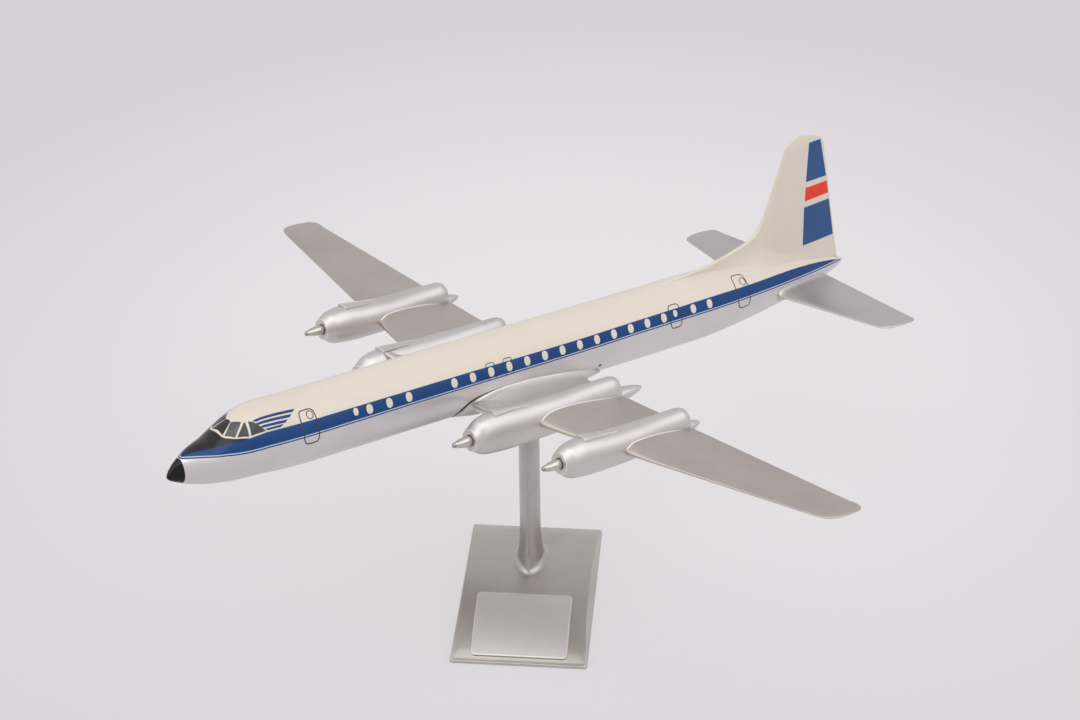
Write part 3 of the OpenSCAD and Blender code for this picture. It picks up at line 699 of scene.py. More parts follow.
@dataclass
class Hull:
    """The round body: a circle at each station, whose radius and height follow the nose, barrel and tail.

    A curve's two numbers are the power of the share of its length and the power of one less that.
    """

    length: float = 463.0
    radius: float = 18.8
    nose: float = 82.0
    drop: float = 6.6
    droop: float = 48.0
    tail: float = 123.0
    rise: float = 1.2
    cap: float = 7.0
    nose_curve: tuple[float, float] = (2.43, 0.763)
    tail_curve: tuple[float, float] = (1.474, 0.72)
    blunt: tuple[float, float] = (6.0, 0.12)
    brow: Table = (
        (0, 0.4), (2, 1.1), (5, 2.0), (8, 2.0), (12, 1.6), (16, 0.7), (20, -0.4), (24, -1.2), (28, -0.6), (32, 0.2),
        (37, 1.4), (43, 2.0), (49, 1.7), (55, 1.4), (61, 0.9), (70, 0.1), (80, 0.0), (463, 0.0))

    @property
    def degree(self) -> float:
        """Millimetres along the barrel's skin for one degree."""
        return self.radius * math.pi / 180

    def radius_at(self, x: np.ndarray) -> np.ndarray:
        """Radius at a station: a blunt power curve in the nose, straight, then a longer one in the tail.

        Args:
            x: stations aft of the nose tip.

        Returns:
            Radii in millimetres.
        """
        ahead = np.clip(1 - x / self.nose, 0, 1)
        back = np.clip((x - self.length + self.tail) / self.tail, 0, 1)
        inner, outer = self.nose_curve
        outer = outer - self.blunt[1] * np.clip(1 - x / self.blunt[0], 0, 1) ** 2
        front = np.maximum(1 - ahead ** inner, 0) ** outer
        inner, outer = self.tail_curve
        return self.radius * np.where(x < self.nose, front, np.maximum(1 - back ** inner, 0) ** outer)

    def height_at(self, x: np.ndarray) -> np.ndarray:
        """Height of the circle's middle: it drops towards the nose tip and climbs a little to the tail."""
        run = self.tail + 40
        return np.where(x < self.droop, -self.drop * (1 - x / self.droop),
                        np.maximum(0, self.rise * (x - self.length + run) / run))

    def at(self, x: np.ndarray, angle: np.ndarray, lift: float = 0.0, side: Side = Side.PORT) -> np.ndarray:
        """Finds points on the skin.

        The upper half stands a little over the circle at the nose cap and at the cockpit roof.

        Args:
            x: stations aft of the nose tip.
            angle: degrees up from level, round the given side.
            lift: how far outside the skin.
            side: the side of the aircraft.

        Returns:
            Points, with a last axis of three.
        """
        turn = np.radians(angle)
        r = self.radius_at(x) + lift
        lifted = smooth_table(self.brow, x) * np.clip(np.sin(turn), 0, 1) ** 1.5 * np.minimum(1, x / 1.5)
        return joined(x, side.value * r * np.cos(turn), self.height_at(x) + r * np.sin(turn) + lifted)

    def side_y(self, x: np.ndarray, z: np.ndarray) -> np.ndarray:
        """Half width of the body at a height."""
        return np.sqrt(np.maximum(self.radius_at(x) ** 2 - (z - self.height_at(x)) ** 2, 1.0))

    def axis(self, patch: Patch) -> np.ndarray:
        """Returns the point on the body's middle line at the station of each quad."""
        middle, _ = normals(patch)
        return joined(middle[:, 0], 0, self.height_at(middle[:, 0]))

    def ribbon(self, low: np.ndarray, high: np.ndarray, side: Side, finish: int, lift: float = 0.05,
               across: int = 8) -> Patch:
        """Lays a painted ribbon on the skin between two paths of station and angle.

        Args:
            low: one edge.
            high: the other edge, with as many points.
            side: the side of the aircraft.
            finish: the number of its finish.
            lift: the film's height over the skin.
            across: how many faces wide.

        Returns:
            The patch.
        """
        v = np.linspace(0, 1, across + 1)[None, :, None]
        both = low[:, None, :] * (1 - v) + high[:, None, :] * v
        patch = grid(self.at(both[..., 0], both[..., 1], lift, side), finish=finish)
        return outward(patch, self.axis(patch))

    def loop(self, outline: np.ndarray, width: float, side: Side, finish: int, lift: float = 0.08) -> Patch:
        """Draws a closed line on the skin.

        Args:
            outline: stations and angles of the line's middle, evenly spaced.
            width: the line's width in millimetres.
            side: the side of the aircraft.
            finish: the number of its finish.
            lift: its height over the skin.

        Returns:
            The patch.
        """
        arc = np.array([1.0, self.degree])
        flat = outline * arc
        way = np.roll(flat, -1, 0) - np.roll(flat, 1, 0)
        way /= np.linalg.norm(way, axis=1, keepdims=True)
        offset = np.stack([-way[:, 1], way[:, 0]], -1) * width / 2
        edges = [(flat + s * offset) / arc for s in (-1, 0, 1)]
        rows = np.stack([self.at(e[:, 0], e[:, 1], lift, side) for e in edges])
        patch = grid(rows, wrap=True, finish=finish)
        return outward(patch, self.axis(patch))

    def oval(self, x: float, angle: float, half_l: float, half_h: float, side: Side, finish: int,
             lift: float = 0.09) -> Patch:
        """Paints a window: an oval of rings on the skin, slightly squarer than an ellipse.

        Args:
            x: station of its middle.
            angle: angle of its middle.
            half_l: half length in millimetres.
            half_h: half height in millimetres.
            side: the side of the aircraft.
            finish: the number of its finish.
            lift: its height over the skin.

        Returns:
            The patch.
        """
        turn = circle(40)
        reach = superellipse(turn, 2.4)
        rho = np.array([1.0, 0.66, 0.33])[:, None]
        xs = x + half_l * rho * reach * np.cos(turn)
        angles = angle + half_h * rho * reach * np.sin(turn) / self.degree
        patch = grid(self.at(xs, angles, lift, side), wrap=True, last=True, finish=finish)
        return outward(patch, self.axis(patch))


def rounded_box(x0: float, x1: float, low: float, high: float, corner: float, count: int = 96) -> np.ndarray:
    """Draws a rounded rectangle in station and angle: a superellipse of power set by the corner share.

    Args:
        x0: front station.
        x1: rear station.
        low: lower angle.
        high: upper angle.
        corner: how round the corners are, from 0, square, to 1, an ellipse.
        count: how many points.

    Returns:
        Stations and angles.
    """
    turn = circle(count)
    reach = superellipse(turn, 2 + 6 * (1 - corner))
    return np.stack([(x0 + x1) / 2 + (x1 - x0) / 2 * reach * np.cos(turn),
                     (low + high) / 2 + (high - low) / 2 * reach * np.sin(turn)], -1)


@dataclass
class Fuselage:
    """The painted fuselage casting with its fin, dorsal ridge and nose cap."""

    hull: Hull = field(default_factory=Hull)
    fin_top: float = 85.2
    fin_lead: Table = (
        (4, 380.6), (27, 389.0), (74, 405.6), (79.4, 407.4), (82.0, 409.4), (83.5, 411.8), (84.6, 414.7), (85.2, 418.0))
    fin_rear: Table = (
        (4, 457.6), (8, 456.3), (19.5, 453.2), (46.0, 446.1), (73.0, 439.1), (78.2, 437.6), (80.6, 436.1),
        (82.2, 433.6), (83.3, 430.4), (84.4, 426.0), (85.2, 420.4))
    fin_round: float = 74.0
    straight_lean: float = 16.6 / 65
    straight_rear: float = 456.6 + 8 * straight_lean
    dorsal_start: float = 312.0
    dorsal_cap: float = 1.1
    dorsal_reach: float = 8.0
    dorsal_hollow: float = 2.6
    dorsal_heel: tuple[float, float, float] = (454.2, 6.0, 3.9)
    dorsal_last: float = 456.4
    dorsal_end: float = 459.0
    dorsal_rise: Table = (
        (312, 18.4), (326, 19.9), (340, 20.9), (350, 21.8), (358, 23.2), (366, 25.0), (374, 27.0), (382, 29.4),
        (387.5, 32.0), (391.5, 36.0), (394.5, 42.0))
    dorsal_top: float = 42.0
    divide: Table = ((7, 95), (9, 93), (11, 84), (14, 66), (18, 46), (24, 33), (30, 27), (38, 23), (50, 22), (360, 24),
                     (440, 30), (463, 25))

    def barrel(self) -> Patch:
        """Makes the body skin, in aluminium paint below the stripe and in cream above it.

        Returns:
            The skin, with a finish number for each face.
        """
        h = self.hull
        front = h.cap + (h.nose - h.cap) * np.linspace(0, 1, 60) ** 1.25
        rear = h.length - h.tail * (1 - np.sin(np.linspace(0, np.pi / 2, 64)))
        stations = np.concatenate([front, np.linspace(h.nose, h.length - h.tail, 44)[1:-1], rear[:-1]])
        x, angles = np.meshgrid(stations, np.linspace(-90, 270, 160, endpoint=False), indexing="ij")
        skin = closed(h.at(x, angles, 0, Side.STARBOARD))
        middle, _ = normals(skin)
        angle = np.degrees(np.arctan2(middle[:, 2] - h.height_at(middle[:, 0]), np.abs(middle[:, 1])))
        silver = angle < smooth_table(self.divide, middle[:, 0])
        skin.finish = np.concatenate([silver, np.repeat([1, 0], len(skin.tris) // 2)]).astype(int)
        return skin

    def fin_ends(self, z: np.ndarray) -> tuple[np.ndarray, np.ndarray]:
        """Leading and trailing edge of the fin at a height, from its measured outline."""
        return smooth_table(self.fin_lead, z), smooth_table(self.fin_rear, z)

    def fin_half(self, x: np.ndarray, z: np.ndarray) -> np.ndarray:
        """Half width of the fin: its aerofoil at that height, thinned to an edge over the last few millimetres.

        Args:
            x: stations aft of the nose tip.
            z: heights over the middle line.

        Returns:
            Half widths in millimetres.
        """
        lead, rear = self.fin_ends(z)
        share = np.clip((x - lead) / (rear - lead), 0, 1)
        top = np.sqrt(np.clip((self.fin_top + 0.3 - z) / 6, 0, 1))
        below = np.minimum(z, self.fin_round)
        straight = self.straight_rear - self.straight_lean * below
        chord = np.maximum(straight - self.fin_ends(below)[0], 8) * (0.35 + 0.65 * top)
        return Foil().height(share, chord, 0.1 - 0.03 * z / self.fin_top) * (0.4 + 0.6 * top)

    def fin(self) -> Patch:
        """Makes the fin: aerofoils stacked upwards between its edges and rounded at the top.

        Returns:
            The fin.
        """
        share, sign = Foil().shares()
        over = (self.fin_top - self.fin_round) * np.sin(np.linspace(0, np.pi / 2, 34))[1:]
        z = np.concatenate([np.linspace(4, self.fin_round, 44), self.fin_round + over])[:, None]
        lead, rear = self.fin_ends(z)
        x = lead + (rear - lead) * share
        y = sign * self.fin_half(x, z)
        return closed(joined(x, y, z))

    def dorsal(self) -> Patch:
        """Makes the ridge in front of the fin and the hollow root along it.

        At each station a narrow round crest falls away down hollow flanks: the half width grows
        with a power of the drop. The crest climbs slowly, sweeps into the fin and stays inside
        it, and the root narrows with the body towards the tail.

        Returns:
            The ridge and the root in one skin.
        """
        start, end = self.dorsal_start, self.fin_ends(np.array(self.dorsal_top))[0] + 1
        x = np.concatenate([start + (end - start) * (1 - (1 - np.linspace(0, 1, 90)) ** 1.5),
                            np.linspace(end, 457.0, 50)[1:]])[:, None]
        crest = smooth_table(self.dorsal_rise, np.minimum(x, self.dorsal_rise[-1][0]))
        heel, high, fall = self.dorsal_heel
        crest = np.where(x > self.dorsal_last, high - 1, np.minimum(crest, high + (heel - x) * fall))
        foot = np.minimum(9, self.hull.radius_at(x) + self.hull.height_at(x) - 7)
        crest = np.maximum(crest, foot + 1.5)
        left = self.dorsal_end - x
        k = np.linspace(-1, 1, 91)
        drop = np.abs(k)
        turn = np.pi / 2 * np.minimum(1, 4 * drop)
        f = np.clip((drop - 0.25) / 0.75, 0, 1)
        flank = self.dorsal_reach * np.clip(left / 62, 0.05, 1) ** 0.9 * f ** self.dorsal_hollow
        y = -np.sign(k) * (self.dorsal_cap * np.sin(turn) * np.clip(left / 20, 0.1, 1) + flank)
        z = crest - self.dorsal_cap * (1 - np.cos(turn)) - (crest - foot - self.dorsal_cap) * f
        return closed(joined(x, y, z))

    def cap_piece(self) -> Piece:
        """Makes the black nose cap, closed by a flat back inside the joint.

        Returns:
            The piece.
        """
        x = (self.hull.cap - 0.05) * np.linspace(0.03, 1, 36) ** 2
        xs, angles = np.meshgrid(x, np.linspace(0, 360, 96, endpoint=False), indexing="ij")
        points = self.hull.at(xs, angles, 0, Side.STARBOARD)
        skin = outward(grid(points, wrap=True, first=True), np.array([8.0, 0, -6.0]))
        return Piece("nose_cap_shell", [skin, grid(points[-1:], wrap=True, last=True)], [CAP], Body.AIRCRAFT, Slot.CAP,
                     ("nose_cap",))

    def body_piece(self) -> Piece:
        """Joins skin, fin and ridge in one piece that stands for the fuselage casting."""
        return Piece("fuselage_shell", [self.barrel(), self.fin(), self.dorsal()], [CREAM, SILVER],
                     Body.AIRCRAFT, Slot.PAINT, ("fuselage_casting",))


@dataclass
class Nacelle:
    """An engine nacelle with its jet-pipe hump, drawn from its front face aft along its spinner axis."""

    front: tuple[float, float, float]
    hump: float
    rear_x: float = 246.0
    width: float = 8.8
    deep: float = 10.6
    lip: float = 6.2
    recess: float = 2.85
    recess_d: float = 2.6
    bush: float = 2.35
    cone_z: float = -1.3
    cone_l: float = 18.5
    cone_r: float = 5.3
    cone_in: float = 27.0
    square: float = 0.86
    lean: float = 0.1
    brow: float = 1.0
    reach: float = 1.0
    scoop_from: float = 12.6
    scoop_run: float = 26.0
    scoop_half: float = 3.8
    scoop_high: float = 1.0
    scoop_taper: float = 2.2
    scoop_deep: float = 2.2

    @property
    def length(self) -> float:
        """Length from the front face to the end of the hump."""
        return self.rear_x - self.front[0]

    def half_width(self, u: np.ndarray) -> np.ndarray:
        """Half width at a share of the length.

        Args:
            u: shares of the length, from the front face.

        Returns:
            Half widths in millimetres.
        """
        w, r = self.width, self.lip
        return smooth_table([(0, r - 0.6), (0.003, r - 0.3), (0.03, r + 0.7), (0.06, w - 1.0), (0.1, w - 0.5),
                             (0.18, w - 0.2), (0.32, w), (0.55, w - 0.3), (0.8, w - 1.4),
                             (0.95, w - 1.9), (0.985, w - 2.5), (1, w - 3.6)], u)

    def above(self, u: np.ndarray) -> np.ndarray:
        """Height over the spinner axis at a share of the length.

        Args:
            u: shares of the length, from the front face.

        Returns:
            Heights in millimetres.
        """
        h, r = self.hump, self.lip
        top = h + self.brow
        return smooth_table([(0, r - 0.6), (0.003, r - 0.3), (0.02, r + 1.0), (0.05, r + 0.66 * (top - r)),
                             (0.09, top - 0.5), (0.14, top), (0.35, h + 0.4), (0.6, h), (0.94, h),
                             (0.985, h - 1), (1, h - 2.2)], u)

    def below(self, u: np.ndarray) -> np.ndarray:
        """Depth under the spinner axis at a share of the length.

        Args:
            u: shares of the length, from the front face.

        Returns:
            Depths in millimetres.
        """
        d, r = self.deep, self.lip
        return smooth_table([(0, r - 0.6), (0.003, r - 0.3), (0.02, r + 0.6), (0.05, d - 2), (0.09, d - 1.0),
                             (0.25, d), (0.5, d - 0.2), (0.75, d - 2.8), (0.95, d - 5.8), (1, d - 7.3)], u)

    def shell(self) -> Patch:
        """Makes the nacelle: a narrow round front, then rings that are squared in their upper half.

        Returns:
            The shell, open at the front.
        """
        u = np.concatenate([[0], 0.1 * np.linspace(0.02, 1, 46) ** 1.6, np.linspace(0.1, 0.92, 60)[1:],
                            0.92 + 0.08 * np.sin(np.linspace(0, np.pi / 2, 22))[1:]])[:, None]
        a = circle(96)
        soft = np.clip(u / 0.1, 0, 1)
        raised = soft * np.abs(np.sin(a)) ** self.square + (1 - soft) * np.abs(np.sin(a))
        y = self.half_width(u) * np.cos(a) * (1 - self.lean * soft * np.clip(np.sin(a), 0, 1))
        z = np.where(np.sin(a) > 0, self.above(u) * raised, self.below(u) * np.sin(a))
        x = u * self.length - self.reach * np.clip(1 - u / 0.12, 0, 1)
        body = grid(self.place(joined(x, y, z)), wrap=True, last=True)
        return outward(body, self.place(np.array([60.0, 0, 0])))

    def face(self) -> Patch:
        """Makes the flat ring of the front and the recess in it that the spinner sits in.

        Returns:
            The face.
        """
        rim, deep = self.lip - 0.6, self.recess_d + self.reach
        r = np.array([rim, rim - 0.12, self.recess + 0.2, self.recess, self.recess, self.bush])[:, None]
        x = np.array([0, -0.06, -0.02, 0.16, deep, deep])[:, None] - self.reach
        ring = grid(self.place(rings(x, r, circle(96))), wrap=True, last=True)
        return outward(ring, self.place(np.array([60.0, 0, 0])))

    def place(self, points: np.ndarray) -> np.ndarray:
        """Moves points from the nacelle's own axes to the aircraft's."""
        return points + np.array(self.front)

    def cone(self) -> Patch:
        """Makes the pointed leaf behind the hump: ellipses that shrink with a rounded end, low at the front.

        Returns:
            The leaf.
        """
        t = np.sin(np.linspace(0, np.pi / 2, 40))[:, None]
        a = circle(48)
        x = self.length - self.cone_in + (self.cone_in + self.cone_l) * t
        r = self.cone_r * (1 - t ** 3.2) ** 0.62 * np.clip(0.6 + t * 1.6, 0, 1)
        z = self.cone_z - 1.6 + 2.2 * t + r * (1 - 0.18 * t) * np.sin(a)
        return closed(self.place(joined(x, r * np.cos(a), z)))

    def crown(self, x: np.ndarray, y: np.ndarray) -> np.ndarray:
        """Height of the nacelle's top over the spinner axis at a station and a distance off the middle.

        Args:
            x: stations aft of the front face.
            y: distances off the middle.

        Returns:
            Heights in millimetres.
        """
        u = x / self.length
        wide = np.clip(np.abs(y) / self.half_width(u), 0, 1)
        return self.above(u) * np.maximum(1 - wide ** 2, 0.0) ** (self.square / 2)

    def scoop(self) -> list[Patch]:
        """Makes the raised lip on top, with its own front, top and side walls so that its edges stay crisp.

        The top keeps a height over the nacelle that falls with the 1.5th power of the way aft,
        and the walls drop from its edge into the nacelle.

        Returns:
            Its top, its walls, and bright lines along their edges that are painted highlights.
        """
        t = np.linspace(0, 1, 30)[:, None]
        v = np.linspace(-1, 1, 21)
        x, y = np.broadcast_arrays(self.scoop_from + self.scoop_run * t, (self.scoop_half - self.scoop_taper * t) * v)
        top = self.crown(x, y) * (0.5 + 0.5 * t) + self.crown(x, 0 * y) * (0.5 - 0.5 * t)
        lift = self.scoop_high * (1 - t ** 1.5) - 0.12 * t
        face = np.stack([x, y, top + lift - 0.25 * np.abs(v) ** 4], -1)
        low = face - np.array([0, 0, self.scoop_deep])
        roof = grid(self.place(face))
        middle = self.place(np.array([self.scoop_from + self.scoop_run / 2, 0, 2.0]))
        walls = []
        for edge, base in ((face[0], low[0]), (face[:, 0], low[:, 0]), (face[:, -1], low[:, -1])):
            bevel = base + (edge - base) * np.array([1, 1, 0.93])
            walls.append(outward(grid(self.place(np.stack([edge, bevel, base]))), middle))
        outer, inset = (-1, -4) if self.front[1] > 0 else (0, 3)
        # The three lines along the lip's front and outer edges take the bright edge finish: painted highlights.
        lines = [tube(self.place(line), radius, 1) for line, radius in
                 ((face[0], 0.24), (face[:, outer], 0.22), (face[:20, inset] + np.array([0.4, 0, 0]), 0.16))]
        return [outward(roof, middle)] + walls + lines

    def rim(self) -> Patch:
        """Makes the corner round the flat front, bright in the edge finish: a painted highlight."""
        turn = np.linspace(0, 2 * np.pi, 97)
        return tube(self.place(rings(0.1 - self.reach, self.lip - 0.55, turn)), 0.22, 1, looped=True)


@dataclass
class Wing:
    """The wing casting: one aerofoil from tip to tip, a belly fairing and four nacelles.

    Each fillet is given by its height, its width and where it starts, off the middle line for
    the body and off the nacelle's axis for the web and the flanks.
    """

    half_span: float = 226.0
    x: float = 176.0
    root: float = 72.0
    tip: float = 26.0
    sweep: float = 0.207
    thick: float = 0.125
    z: float = -12.0
    dihedral: float = 0.05
    incidence: float = 1.5
    ending: Tip = Tip(11.0, (2.7, 0.37), shorten=0.82, aft=0.4, thinnest=0.06)
    flare: float = 14.5
    hull: Hull = field(default_factory=Hull)
    body_fillet: tuple[float, float, float] = (4.2, 4.5, 17.5)
    web_fillet: tuple[float, float, float] = (3.4, 5.5, 8.0)
    flank_fillet: tuple[float, float, float] = (1.9, 13.0, 7.0)
    edge: Table = (
        (0, -88), (0.03, -60), (0.06, -42), (0.09, -24), (0.15, -15), (0.26, -8), (0.44, -8.5), (0.63, -14.5),
        (0.82, -21.5), (0.97, -29), (1, -60))
    inboard: tuple[float, float, float] = (149.5, 47.0, -9.6)
    outboard: tuple[float, float, float] = (163.5, 99.5, -5.2)
    root_end: tuple[float, float, float] = (173.2, 19.2, -7.0)
    lip_end: tuple[float, float, float] = (162.6, 44.0, 1.5)
    web_run: float = 38.0
    web_drop: float = 7.0
    fairing_ahead: float = 11.0
    fairing_behind: float = 16.0
    fairing_radius: float = 21.5
    seat_flat: float = 15.0
    screws: tuple[float, float] = (186.2, 250.2)
    screw_z: float = -21.3
    screw_flat: float = 3.9
    fairing_least: float = 0.3
    fairing_lip: float = 7.0

    @property
    def start(self) -> float:
        """Where the tip begins to close."""
        return self.half_span - self.ending.run

    def nacelles(self) -> list[Nacelle]:
        """Places the four nacelles.

        Returns:
            The port pair and then the starboard pair, each with the inboard one first.
        """
        pairs = []
        for side in (Side.PORT, Side.STARBOARD):
            for (x, y, z), hump, cone_z, cone_l, brow in ((self.inboard, 10.8, -1.3, 18.5, 1.0),
                                                          (self.outboard, 8.6, -3.6, 11.0, 1.6)):
                pairs.append(Nacelle((x, side.value * y, z), hump, cone_z=cone_z, cone_l=cone_l, brow=brow))
        return pairs

    def chord(self, y: np.ndarray) -> np.ndarray:
        """Chord at a span: a straight taper with a flare over the last few millimetres to the body.

        Args:
            y: distances from the middle line, of either sign.

        Returns:
            Chord lengths in millimetres.
        """
        y = np.abs(y)
        inner = np.clip(1 - (y - self.hull.radius + 2.5) / 7, 0, 1)
        return self.root + (self.tip - self.root) * y / self.start + self.flare * inner ** 2.6

    def pitch(self, x: np.ndarray) -> np.ndarray:
        """Rise that the incidence gives at a station, about the middle of the root chord."""
        return math.tan(math.radians(self.incidence)) * (self.x + self.root / 2 - x)

    def half_thick(self, foil: Foil, share: np.ndarray, chord: np.ndarray, span: np.ndarray) -> np.ndarray:
        """Half thickness at a chord share: the section thins by a quarter towards the tip."""
        return foil.height(share, chord, self.thick * (1 - 0.25 * span / self.half_span))

    def early(self, share: np.ndarray) -> np.ndarray:
        """Share of a flank fillet's height along the chord: it grows fast at the nose and fades to the rear."""
        return np.clip(share * 9, 0, 1) ** 0.6 * (1 - share ** 3)

    def skin(self) -> list[Patch]:
        """Makes the wing in three strips that meet under the inboard nacelles; the middle one is in the lighter buffed
        finish as a painted highlight, the outer ones in the darker flat finish, partly painted shade.

        Aerofoil rings follow the sweep, dihedral and incidence. The tip's chord and thickness
        fall along a quarter oval. The fillets of the casting raise the top by an exponential of
        the distance from the body and from the web, and by a bell curve beside each flank.

        Returns:
            The port, middle and starboard strips.
        """
        foil = Foil(count=46)
        share, sign = foil.shares()
        start = self.start
        out = np.concatenate([[0, 8], np.linspace(14, 34, 30), np.linspace(36, 60, 34), np.linspace(62, 88, 12),
                              np.linspace(90, 114, 34), np.linspace(118, start, 16),
                              self.half_span - self.ending.run * (1 - np.sin(np.linspace(0, np.pi / 2, 26)))[1:]])
        y = np.concatenate([-out[:0:-1], out])[:, None]
        span = np.abs(y)
        chord, aft, left = self.ending.close(span - start, self.chord(np.minimum(span, start)))
        x = self.x + self.sweep * span + aft + chord * share
        half = self.half_thick(foil, share, chord, span)
        z = self.z + self.dihedral * span + sign * half * left + self.pitch(x)
        over = np.sin(np.pi * np.clip(share * 1.02, 0, 1)) ** 0.6 * (sign > 0)
        early = self.early(share) * (sign > 0)
        first, second = self.inboard[1], self.outboard[1]
        high, wide, off = self.body_fillet
        z = z + over * high * np.exp(-np.clip(span - off, 0, 60) / wide)
        high, wide, off = self.web_fillet
        z = z + over * high * np.exp(-np.clip(first - off - span, 0, 60) / wide) * (span < first)
        high, wide, flank = self.flank_fillet
        for off, near in ((span - first - flank, span > first), (span - second - flank, span > second),
                          (second - flank - span, span < second)):
            z = z + early * high * np.exp(-(np.clip(off, 0, 60) / wide) ** 2) * near
        points = joined(x, y, z)
        split = [int(np.argmin(np.abs(y[:, 0] - seam))) for seam in (-first, first)]
        middle = points.mean(1, keepdims=True)
        strips = []
        # Finish 0 is the lighter buffed metal, a painted highlight on the strip beside the body; finish 2 is the
        # darker, browner flat metal, partly painted shade.
        for begin, stop, finish in ((0, split[0] + 1, 2), (split[0], split[1] + 1, 0), (split[1], len(points), 2)):
            part = grid(points[begin:stop], wrap=True, first=begin == 0, last=stop == len(points), finish=finish)
            inside = np.repeat((middle[begin:stop - 1, 0] + middle[begin + 1:stop, 0]) / 2, points.shape[1], axis=0)
            strips.append(outward(part, inside))
        return strips

    def top(self, x: np.ndarray, span: np.ndarray) -> np.ndarray:
        """Height of the wing's upper side where it meets a nacelle's flank in a seam, by the formula of its skin.

        Args:
            x: stations aft of the nose tip.
            span: distances from the middle line.

        Returns:
            Heights in millimetres.
        """
        chord = self.chord(span)
        share = np.clip((x - self.x - self.sweep * span) / chord, 0, 1)
        return (self.z + self.dihedral * span + self.half_thick(Foil(), share, chord, span)
                + self.flank_fillet[0] * self.early(share) + self.pitch(x))

    def bead(self, nacelle: Nacelle, way: int = 1) -> Patch:
        """Makes the fine raised seam where the wing meets a nacelle's flank, bright in the edge finish: a painted
        highlight along the seam.

        The path keeps to the wing's upper side at the nacelle's half width for that height; the
        seam is a tube round it that thins out at both ends.

        Args:
            nacelle: the nacelle.
            way: one for the outer flank, minus one for the inner.

        Returns:
            The seam.
        """
        side = math.copysign(1.0, nacelle.front[1])
        span0 = abs(nacelle.front[1])
        x = np.linspace(self.x + self.sweep * (span0 + 8 * way) + 0.3, nacelle.rear_x - 8, 90)
        u = (x - nacelle.front[0]) / nacelle.length
        span = span0 + way * nacelle.half_width(u)
        for _ in range(6):
            rise = np.clip((self.top(x, span) - nacelle.front[2]) / nacelle.above(u), 0, 0.98)
            turn = np.arcsin(rise ** (1 / nacelle.square))
            span = span0 + way * nacelle.half_width(u) * np.cos(turn) * (1 - nacelle.lean * np.sin(turn))
        path = np.stack([x, side * span, self.top(x, span)], -1)
        return tube(path, 0.4, 1)

    def glove(self, side: Side) -> list[Patch]:
        """Makes the web that carries the root's leading edge out to the inboard nacelle's raised lip.

        The top runs aft from the slanted front edge and eases down to the wing; the front rolls
        under and drops to the wing's middle plane.

        Args:
            side: the side of the aircraft.

        Returns:
            The web and its front edge, bright in the edge finish: a painted highlight.
        """
        s = np.linspace(0, 1, 30)[:, None]
        front = np.array(self.root_end) * (1 - s) + np.array(self.lip_end) * s
        x0, y, z0 = front[:, :1], front[:, 1:2], front[:, 2:]
        t = np.linspace(0, 1, 40)
        ease = t ** 1.3 * (3 - 2 * t ** 1.3) * t ** 0.4
        roll = 0.5 * (1 - (1 - 2 * np.minimum(t * 6, 1)) ** 2) * (t < 0.17)
        x = x0 + self.web_run * t
        top = joined(x, y, z0 * (1 - ease) + (self.top(np.maximum(x, 190), y) - 3.0) * ease + roll)
        q = np.linspace(1, 0, 14)
        under = joined(x0 - 0.4 * np.sin(np.pi * q) + 9 * q ** 2, y, z0 - self.web_drop * q ** 0.7)
        mirror = np.array([1, side.value, 1])
        edge = tube(top[:, 0] * mirror + np.array([-0.2, 0, 0.35]), 0.5, 1)
        sheet = grid(np.concatenate([under, top[:, 1:]], 1) * mirror)
        return [outward(sheet, np.array([190.0, side.value * 32, -12.0])), edge]

    def fairing_x(self, share: np.ndarray) -> np.ndarray:
        """Station at a share of the fairing's length."""
        return self.x - self.fairing_ahead + (self.fairing_ahead + self.root + self.fairing_behind) * share

    def fairing_edge(self, side: Side) -> Patch:
        """Makes the bright corner along the fairing's top edge, a painted highlight, from its front to behind the
        wing's middle.

        Args:
            side: the side of the aircraft.

        Returns:
            The corner.
        """
        t = np.linspace(0.085, 0.8, 120)
        angle = np.radians(smooth_table(self.edge, t) - 1.5)
        r = self.hull.radius + 0.25
        x = self.fairing_x(t)
        return tube(rings(x, r, angle) * np.array([1, side.value, 1]), 0.5, 1)

    def fairing(self) -> Patch:
        """Makes the belly fairing.

        Round each ring the radius is the body's plus a thickness that grows as one less an
        exponential of the angle below the top edge; above that edge it sinks into the body. The
        belly is flat where the stand's seat and the two screw heads bear on it.

        Returns:
            The fairing.
        """
        t = (np.linspace(0, 1, 130) ** 1.25)[:, None]
        x = self.fairing_x(t)
        edge = smooth_table(self.edge, t)
        least, full = self.fairing_least, self.fairing_radius - self.hull.radius
        rise, fall = np.clip(t / 0.2, 0, 1), np.clip((1 - t) / 0.35, 0, 1)
        ease = np.minimum(rise ** 2 * (3 - 2 * rise), fall ** 2 * (3 - 2 * fall))
        a = np.radians(np.linspace(-90, 270, 180, endpoint=False))
        below = edge - np.degrees(np.arcsin(np.sin(a)))
        grown = (least + (full - least) * ease) * (1 - np.exp(-np.clip(below, 0, 180) / self.fairing_lip))
        pts = rings(x, self.hull.radius + np.where(below < 0, np.maximum(-6, below * 0.25), grown), a)
        pivot, nose_up = np.array(PLACEMENT.pivot), math.radians(PLACEMENT.nose_up)
        up = np.array([-math.sin(nose_up), 0, math.cos(nose_up)])
        deep = ((pts - pivot) @ up)[..., None]
        near = np.linalg.norm(pts - pivot - deep * up, axis=-1, keepdims=True) < self.seat_flat
        pts = np.where(near & (deep < 0), pts - deep * up, pts)
        for screw in self.screws:
            close = np.hypot(pts[..., 0] - screw, pts[..., 1]) < self.screw_flat
            pts[..., 2] = np.where(close, np.maximum(pts[..., 2], self.screw_z), pts[..., 2])
        return closed(pts)

